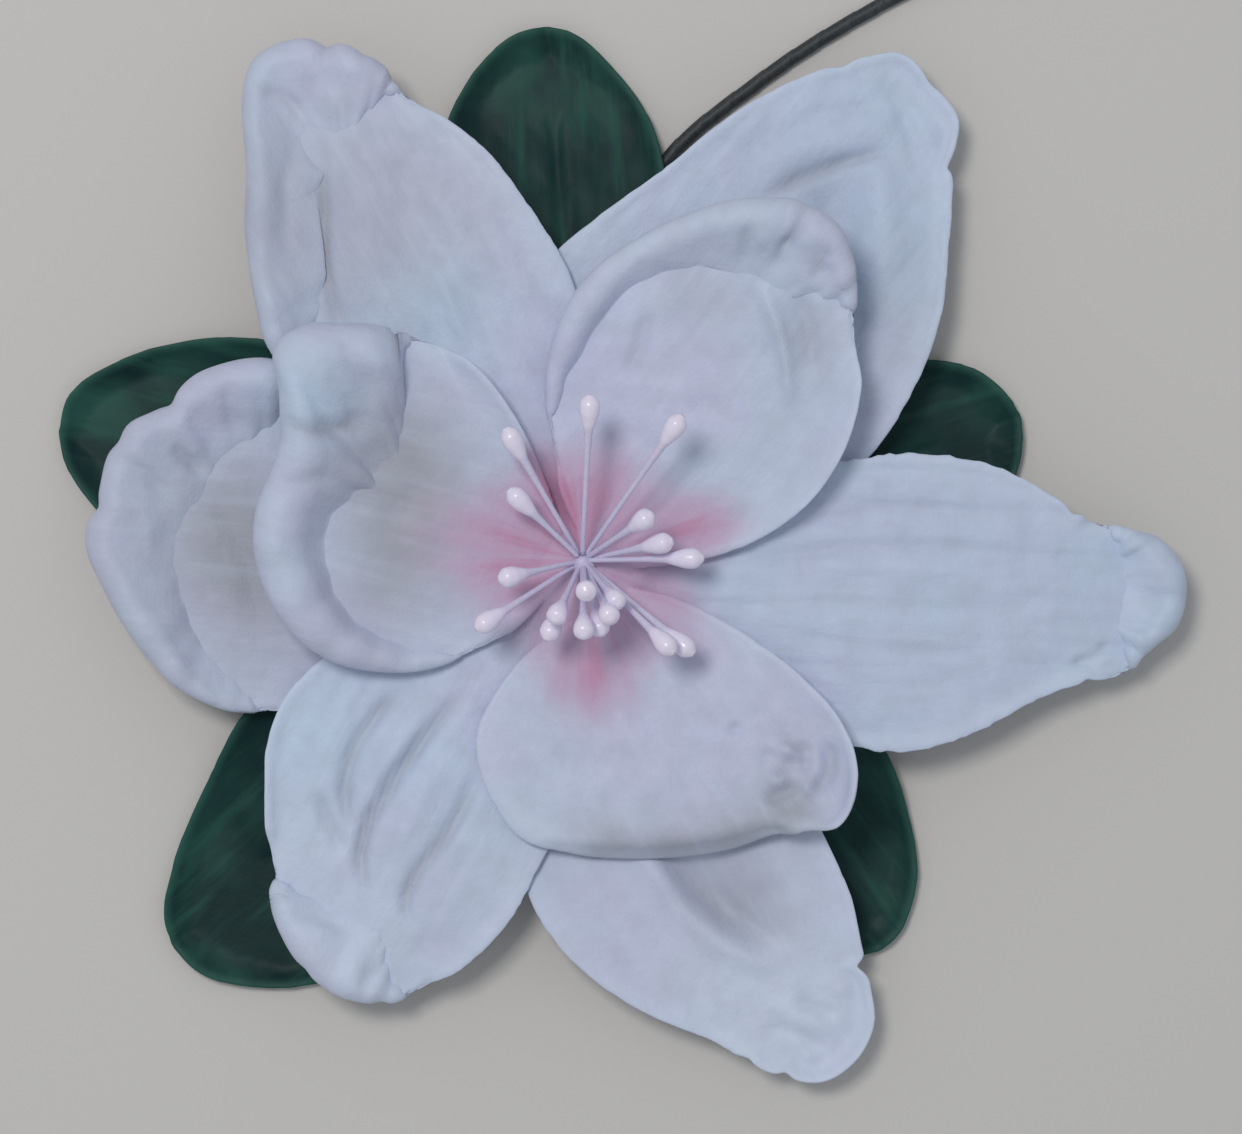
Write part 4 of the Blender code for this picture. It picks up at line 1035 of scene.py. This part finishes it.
def bumps(layers):
    """Bumps from several heights, each with the depth of its relief in millimetres."""
    normal = None
    for height, depth in layers:
        inputs = {"Height": height, "Distance": depth * MM, "Strength": 1.0}
        if normal is not None:
            inputs["Normal"] = normal
        normal = add(height.id_data, "ShaderNodeBump", inputs).outputs["Normal"]
    return normal


def new_finish(name):
    """A material with its shader and the place on the object."""
    made = bpy.data.materials.new(name)
    made.use_nodes = True
    place = add(made.node_tree, "ShaderNodeTexCoord", {}).outputs["Object"]
    return made, made.node_tree.nodes["Principled BSDF"], place


def lengthwise(place, stretch):
    """A place on the sheet, with its length pressed together so that noise runs along it."""
    along = maths("MULTIPLY", noted(place, "along"), MM / stretch)
    across = maths("MULTIPLY", noted(place, "across"), MM)
    return add(place.id_data, "ShaderNodeCombineXYZ", {"X": along, "Y": across}).outputs[0]


def throat_rays(place):
    """Streaks that run outwards from the throat."""
    tree = place.id_data
    parts = add(tree, "ShaderNodeSeparateXYZ", {0: place}).outputs
    x = maths("SUBTRACT", parts[0], THROAT[0] * MM)
    y = maths("SUBTRACT", parts[1], THROAT[1] * MM)
    heading = maths("ARCTAN2", y, x)
    away = add(tree, "ShaderNodeVectorMath", {0: place}, operation="LENGTH").outputs["Value"]
    inputs = {"X": heading, "Y": maths("MULTIPLY", away, RAY_STRETCH)}
    return grain(add(tree, "ShaderNodeCombineXYZ", inputs).outputs[0], *THROAT_RAYS)


def foam_finish():
    """Matte foam sheet, cool white with lilac drifts and blushed pink at the throat, with painted light and
    shade, and a painted highlight at its rims.
    """
    made, shader, place = new_finish("tepal_foam")
    drift = between(grain(place, *FOAM_DRIFT), 0.35, 0.65)
    tone = mix(drift, FOAM, FOAM_LILAC)
    # Painted light and shade: bluer and lighter where lit, darker where shade falls
    for name, other in TONES.items():
        tone = mix(noted(place, name), tone, other)
    mottle = between(grain(place, *FOAM_MOTTLE), 0.3, 0.75, 0.0, 0.2)
    tone = mix(mottle, tone, FOAM_DARK_AND_SHADE)
    streaks = between(grain(lengthwise(place, STREAK_STRETCH), *FOAM_STREAKS), 0.4, 0.8, 0.0, 0.2)
    tone = mix(streaks, tone, FOAM_PALE_AND_LIT)
    # A painted highlight along the rims, where the edge catches the light
    rim = between(noted(place, "to_margin"), 5.0, 0.5, 0.0, 0.3)
    tone = mix(rim, tone, FOAM_PALE_AND_LIT)
    rays = between(throat_rays(place), 0.25, 0.75, 0.74, 1.12)
    pink = maths("MULTIPLY", noted(place, "blush"), rays)
    tone = mix(between(pink, 0.0, 0.55, 0.0, 0.85), tone, BLUSH_SOFT)
    tone = mix(between(pink, 0.45, 1.0, 0.0, 0.9), tone, BLUSH_STRONG)
    fine = grain(place, *FOAM_FINE)
    pressed = grain(lengthwise(place, PRESSED_STRETCH), *FOAM_PRESSED)
    pores = grain(place, *FOAM_PORES)
    fill(shader, {
        "Base Color": tone,
        "Roughness": between(mottle, 0.0, 0.22, 0.52, 0.68),
        "Normal": bumps([(fine, 0.05), (pressed, 0.10), (pores, 0.25)]),
        "Specular IOR Level": 0.35,
        "Sheen Weight": 0.08,
        "Sheen Roughness": 0.5,
    })
    return made


def leaf_finish():
    """Foam sheet painted dark bluish green with a brush, satin and paler at the tip, with a painted
    highlight along the rim.
    """
    made, shader, place = new_finish("leaf_paint")
    brushed = grain(lengthwise(place, BRUSH_STRETCH), *LEAF_BRUSH)
    patches = grain(place, *LEAF_PATCHES)
    tone = mix(between(patches, 0.35, 0.7), LEAF_DARK, LEAF_MID)
    tone = mix(between(brushed, 0.45, 0.75, 0.0, 0.55), tone, LEAF_LIGHT)
    at_tip = between(noted(place, "along"), 56.0, 74.0, 0.0, 0.45)
    tip = maths("MULTIPLY", at_tip, between(patches, 0.4, 0.6))
    tone = mix(tip, tone, LEAF_LIGHT)
    # A painted highlight along the rim, where the edge catches the light
    rim = between(noted(place, "to_margin"), 1.6, 0.0, 0.0, 0.5)
    fine = grain(place, *LEAF_FINE)
    fill(shader, {
        "Base Color": mix(rim, tone, LEAF_LIGHT),
        "Roughness": between(brushed, 0.3, 0.7, 0.46, 0.56),
        "Normal": bumps([(brushed, 0.05), (fine, 0.03), (patches, 0.4)]),
        "Specular IOR Level": 0.16,
    })
    return made


def receptacle_finish():
    """Foam tinted pink, darker in its pores."""
    made, shader, place = new_finish("receptacle_foam")
    pores = grain(place, *RECEPTACLE_PORES)
    fill(shader, {
        "Base Color": mix(between(pores, 0.35, 0.7), BLUSH_STRONG, BLUSH_SOFT),
        "Roughness": between(pores, 0.3, 0.7, 0.55, 0.75),
        "Normal": bumps([(pores, 0.2)]),
    })
    return made


def tape_finish():
    """Near-black florist's tape: dull, waxy, with its crepe's fine lines round the stem."""
    made, shader, place = new_finish("stem_tape")
    crepe = grain(lengthwise(place, CREPE_STRETCH), *TAPE_CREPE)
    # Lighter towards the raised edge of each lap of tape
    raised_lap = between(noted(place, "lap"), 0.75, 1.0)
    tone = mix(between(crepe, 0.35, 0.75), TAPE_DARK, TAPE_LIGHT)
    fill(shader, {
        "Base Color": mix(maths("MULTIPLY", raised_lap, 0.6), tone, TAPE_LIGHT),
        "Roughness": between(crepe, 0.3, 0.7, 0.45, 0.62),
        "Normal": bumps([(crepe, 0.08)]),
    })
    return made


def wire_finish():
    """The cut end of the steel wire."""
    made, shader, place = new_finish("stem_wire")
    scratches = grain(place, *WIRE_SCRATCHES)
    fill(shader, {
        "Base Color": mix(between(scratches, 0.3, 0.7), WIRE_STEEL, TAPE_LIGHT),
        "Roughness": between(scratches, 0.3, 0.7, 0.25, 0.45),
        "Metallic": 1.0,
    })
    return made


def stamen_finish():
    """A pale lilac thread that ends in a pearly bead."""
    made, shader, place = new_finish("stamen_pearl")
    fibres = grain(place, *THREAD_FIBRES)
    thread = mix(between(fibres, 0.3, 0.7), FILAMENT_LILAC, FOAM_LILAC)
    fill(shader, {
        "Base Color": mix(noted(place, "head"), thread, PEARL),
        "Roughness": between(noted(place, "head"), 0.0, 1.0, 0.6, 0.28),
        "Normal": bumps([(fibres, 0.05)]),
        "Coat Weight": 0.35,
        "Coat Roughness": 0.2,
    })
    return made


def floor_finish():
    """A plain pale surface with a faint unevenness."""
    made, shader, place = new_finish("floor_pale")
    normal = bumps([(grain(place, *FLOOR_GRAIN), 0.04)])
    fill(shader, {"Base Color": FLOOR_PALE, "Roughness": 0.85, "Normal": normal})
    return made


def tepals():
    """The nine tepals, each a worked sheet of its own."""
    finish = foam_finish()
    form = (TEPAL_STEPS, TEPAL_RINGS, TEPAL_THICKNESS)
    for number, (name, tepal) in enumerate(TEPALS.items()):
        sheet = dict(tepal, root_half_width=TEPAL_ROOT_HALF_WIDTH)
        mesh = sheet_mesh(f"{name}_foam", sheet, LOOKS[name], *form, SEED_STEP * number)
        piece(f"{name}_foam", mesh, finish, "tepal", name)


def leaf_sheet(leaf):
    """A leaf as a sheet: it leaves the receptacle nearly level and comes down to lie on the surface."""
    start, stretch = LEAF_SEAT[0], leaf["stretch"]
    floor = [(start + (out - start) * stretch, height) for out, height in LEAF_FLOOR]
    rolls = [float(through(*zip(*LEAF_ROLL), out)) for out, left in leaf["outline"]]
    edge = [(out, left, roll, LEAF_BEND, LEAF_LIP) for (out, left), roll in zip(leaf["outline"], rolls)]
    return dict(leaf, seat=LEAF_SEAT, root_half_width=LEAF_ROOT_HALF_WIDTH, floor=floor, edge=edge)


def leaves():
    """The five leaves under the tepals."""
    finish = leaf_finish()
    form = (LEAF_STEPS, LEAF_RINGS, LEAF_THICKNESS)
    for number, (name, leaf) in enumerate(LEAVES.items()):
        seed = LEAF_SEED + SEED_STEP * number
        mesh = sheet_mesh(f"{name}_foam", leaf_sheet(leaf), LEAF_LOOK, *form, seed, veined=True)
        piece(f"{name}_foam", mesh, finish, "leaf", name)


def tube(centres, radii, sides):
    """The points and faces of a closed tube along a line of centres. The radii may change round it too."""
    rings = []
    angles = 2 * math.pi * np.arange(sides) / sides
    radii = np.broadcast_to(np.asarray(radii, float).reshape(len(centres), -1), (len(centres), sides))
    for number, centre in enumerate(centres):
        before, beyond = centres[max(number - 1, 0)], centres[min(number + 1, len(centres) - 1)]
        turn = np.array(Vector(beyond - before).to_track_quat("Z", "Y").to_matrix())
        ring = np.stack([radii[number] * np.cos(angles), radii[number] * np.sin(angles), 0 * angles], 1)
        rings.append(centre + ring @ turn.T)
    numbers = np.arange(len(centres) * sides).reshape(-1, sides)
    looped = np.column_stack([numbers, numbers[:, 0]])
    faces = [face[::-1] for face in strips(looped)]
    faces += [numbers[0].tolist()[::-1], numbers[-1].tolist()]
    return np.concatenate(rings), faces


def joined(name, parts, notes):
    """One mesh from several sets of points and faces, with the notes of each point."""
    points, faces, count = [], [], 0
    for some, theirs in parts:
        points.append(some)
        faces += [[number + count for number in face] for face in theirs]
        count += len(some)
    mesh = bpy.data.meshes.new(name)
    mesh.from_pydata((np.concatenate(points) * MM).tolist(), [], faces)
    for label, values in notes.items():
        note(mesh, label, np.concatenate(values))
    return tidied(mesh)


def stamen(number, azimuth, distance, height):
    """One filament with its bead head, rooted inside the core, and how much of each point is head."""
    heading = math.radians(azimuth)
    level = np.array([math.cos(heading), math.sin(heading), 0])
    top = np.array(CORE_LINE[-1])
    depth = STAMEN_ROOT_DEPTH + STAMEN_ROOT_STEP * (number % STAMEN_ROOT_LEVELS)
    root = top + level * STAMEN_ROOT_SPREAD - (0, 0, depth)
    end = np.array([top[0], top[1], height]) + level * distance
    bend = root + level * distance * STAMEN_BEND + (0, 0, (end[2] - root[2]) * STAMEN_RISE)
    head_share = HEAD_LENGTH / (np.linalg.norm(end - bend) + np.linalg.norm(bend - root))
    filament = np.linspace(0, 1, STAMEN_STEPS // 2, endpoint=False)
    head = 2 - (1 - np.linspace(0, 1, STAMEN_STEPS // 2)) ** HEAD_CROWDING
    share = np.concatenate([filament, head])
    t = np.where(share <= 1, share * (1 - head_share), 1 + (share - 2) * head_share)[:, None]
    centres = root * (1 - t) ** 2 + bend * 2 * t * (1 - t) + end * t**2
    radii = through(*zip(*STAMEN_OUTLINE), share)
    points, faces = tube(centres, radii, STAMEN_SIDES)
    return (points, faces), np.repeat(smooth((share - HEAD_START) / HEAD_SPAN), STAMEN_SIDES)


def core():
    """The short bundle of threads that the stamens rise from."""
    centres, fine = resampled(CORE_LINE, STAMEN_STEPS)
    angles = 2 * math.pi * np.arange(CORE_SIDES) / CORE_SIDES
    strands = 1 - CORE_STRAND_DEPTH * (1 - np.abs(np.cos(CORE_STRANDS * angles / 2)))
    round_off = np.sqrt(np.clip((fine[-1] - fine) / CORE_RADIUS, CORE_TIP, 1))
    return tube(centres, CORE_RADIUS * np.outer(round_off, strands), CORE_SIDES)


def stamens():
    """The spray: every stamen and the core that they rise from."""
    middle = core()
    parts, heads = [middle], [np.zeros(len(middle[0]))]
    for number, place in enumerate(STAMENS):
        part, head = stamen(number, *place)
        parts.append(part)
        heads.append(head)
    mesh = joined("stamens_beaded", parts, {"head": heads})
    piece("stamens_beaded", mesh, stamen_finish(), "stamen", "stamens")


def stem_hole():
    """The cutter for the stem's hole: a cylinder along Y that starts inside the receptacle."""
    depth = 2 * max(radius for radius, height in RECEPTACLE_OUTLINE)
    x, y, z = STEM_ROUTE[0]
    centres = np.array([(x, SOCKET_END, z), (x, SOCKET_END + depth, z)])
    return placed("stem_hole", joined("stem_hole", [tube(centres, [SOCKET_RADIUS] * 2, SOCKET_SIDES)], {}))


def turned(outline, depth, seed):
    """The points and faces of an outline turned round the axis, uneven by some depth."""
    outline = np.array(outline, float)
    walked = distances_along(outline)
    fine = np.linspace(0, walked[-1], RECEPTACLE_STEPS)
    radii, heights = (np.interp(fine, walked, column) for column in outline.T)
    angles = 2 * math.pi * np.arange(RECEPTACLE_SIDES) / RECEPTACLE_SIDES
    around = np.stack(np.meshgrid(fine, TURNED_ROUND * np.sin(angles), indexing="ij"), -1)
    uneven = depth * noise(around, TURNED_LUMPS, seed) * smooth(heights / TURNED_CALM)[:, None]
    radii = radii[:, None] * (1 - np.abs(uneven) / radii.max())
    points = np.stack([
        radii * np.cos(angles),
        radii * np.sin(angles),
        np.repeat(heights[:, None], RECEPTACLE_SIDES, 1),
    ], -1).reshape(-1, 3)
    numbers = np.arange(len(points)).reshape(-1, RECEPTACLE_SIDES)
    faces = strips(np.column_stack([numbers, numbers[:, 0]]))
    return points, faces + [numbers[0].tolist(), numbers[-1].tolist()[::-1]]


def receptacle():
    """The turned body that carries the whorls, with the stem's hole in its side."""
    outline = [(END_DISC, RECEPTACLE_OUTLINE[0][1]), *RECEPTACLE_OUTLINE, (END_DISC, 0)]
    whole = joined("receptacle_body", [turned(outline, RECEPTACLE_UNEVEN, RECEPTACLE_SEED)], {})
    body = placed("receptacle_body", whole)
    cut = body.modifiers.new("stem_hole", "BOOLEAN")
    cut.operation = "DIFFERENCE"
    cut.solver = "EXACT"
    cut.object = stem_hole()
    bpy.context.view_layer.update()
    graph = bpy.context.evaluated_depsgraph_get()
    mesh = bpy.data.meshes.new_from_object(body.evaluated_get(graph))
    for helper in (cut.object, body):
        bpy.data.objects.remove(helper)
    mesh.name = "receptacle_foam"
    mesh.materials.clear()
    piece("receptacle_foam", mesh, receptacle_finish(), "receptacle", "receptacle")


def throat_pad():
    """The pad on the receptacle's top, of the tepals' foam and blushed as they are."""
    points, faces = turned(PAD_OUTLINE, PAD_UNEVEN, PAD_SEED)
    above = points[:, 2] > PAD_OUTLINE[-1][1]
    points[:, 2] += PAD_UNEVEN * noise(points[:, :2], PAD_LUMPS, PAD_SEED + 1) * above
    notes = {"blush": [blush_at(points[:, :2])], "along": [points[:, 0]], "across": [points[:, 1]]}
    notes["to_margin"] = [np.full(len(points), PAD_TO_MARGIN)]
    mesh = joined("throat_pad", [(points, faces)], notes)
    piece("throat_pad", mesh, bpy.data.materials["tepal_foam"], "receptacle", "receptacle")


def stem():
    """The bent wire wound with tape, and the wire's bare cut end."""
    centres, fine = resampled(STEM_ROUTE, STEM_STEPS)
    angles = np.arange(STEM_SIDES) / STEM_SIDES
    lap = (fine[:, None] / TAPE_PITCH + angles) % 1
    radii = STEM_RADIUS - TAPE_THICKNESS * (1 - lap)
    points, faces = tube(centres, radii, STEM_SIDES)
    along, around = np.repeat(fine, STEM_SIDES), np.tile(angles, STEM_STEPS)
    notes = {"lap": [lap.ravel()], "along": [along], "across": [2 * math.pi * STEM_RADIUS * around]}
    piece("stem_taped", joined("stem_taped", [(points, faces)], notes), tape_finish(), "stem", "stem")
    outwards = (centres[-1] - centres[-2]) / np.linalg.norm(centres[-1] - centres[-2])
    past, shares = np.array(WIRE_END).T
    wire = tube(centres[-1] + np.outer(past, outwards), WIRE_RADIUS * shares, STEM_SIDES)
    piece("stem_wire_end", joined("stem_wire_end", [wire], {}), wire_finish(), "stem", "stem")


def stage():
    """The pale floor, the soft key light from the upper left and the even light all round."""
    corners = FLOOR_HALF_WIDTH * MM * np.array([(-1, -1, 0), (1, -1, 0), (1, 1, 0), (-1, 1, 0)])
    mesh = bpy.data.meshes.new("floor")
    mesh.from_pydata(corners.tolist(), [], [(0, 1, 2, 3)])
    mesh.materials.append(floor_finish())
    placed("floor", mesh)
    light = bpy.data.lights.new("key", "AREA")
    light.energy = KEY_WATTS
    light.size = KEY_SIZE * MM
    light.color = KEY_COLOUR
    key = placed("key", light)
    key.location = Vector(KEY_PLACE) * MM
    key.rotation_euler = (-key.location).to_track_quat("-Z", "Y").to_euler()
    world = bpy.data.worlds.new("room")
    world.use_nodes = True
    background = world.node_tree.nodes["Background"]
    background.inputs["Color"].default_value = SKY
    background.inputs["Strength"].default_value = WORLD_STRENGTH
    bpy.context.scene.world = world
    bpy.context.scene.view_settings.view_transform = "Standard"


def camera():
    """The camera straight above, with the photograph's framing."""
    x = (PICTURE_WIDTH / 2 - AXIS_COLUMN) * PIXEL
    y = (AXIS_ROW - PICTURE_HEIGHT / 2) * PIXEL
    lens = bpy.data.cameras.new("camera")
    lens.sensor_width = SENSOR_WIDTH
    lens.lens = SENSOR_WIDTH * CAMERA_DISTANCE / (PICTURE_WIDTH * PIXEL)
    made = placed("camera", lens)
    made.location = Vector((x, y, FOCUS_HEIGHT + CAMERA_DISTANCE)) * MM
    bpy.context.scene.camera = made


def main():
    """Builds the flower and its stage."""
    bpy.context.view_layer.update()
    tepals()
    leaves()
    stamens()
    receptacle()
    throat_pad()
    stem()
    stage()
    camera()


main()
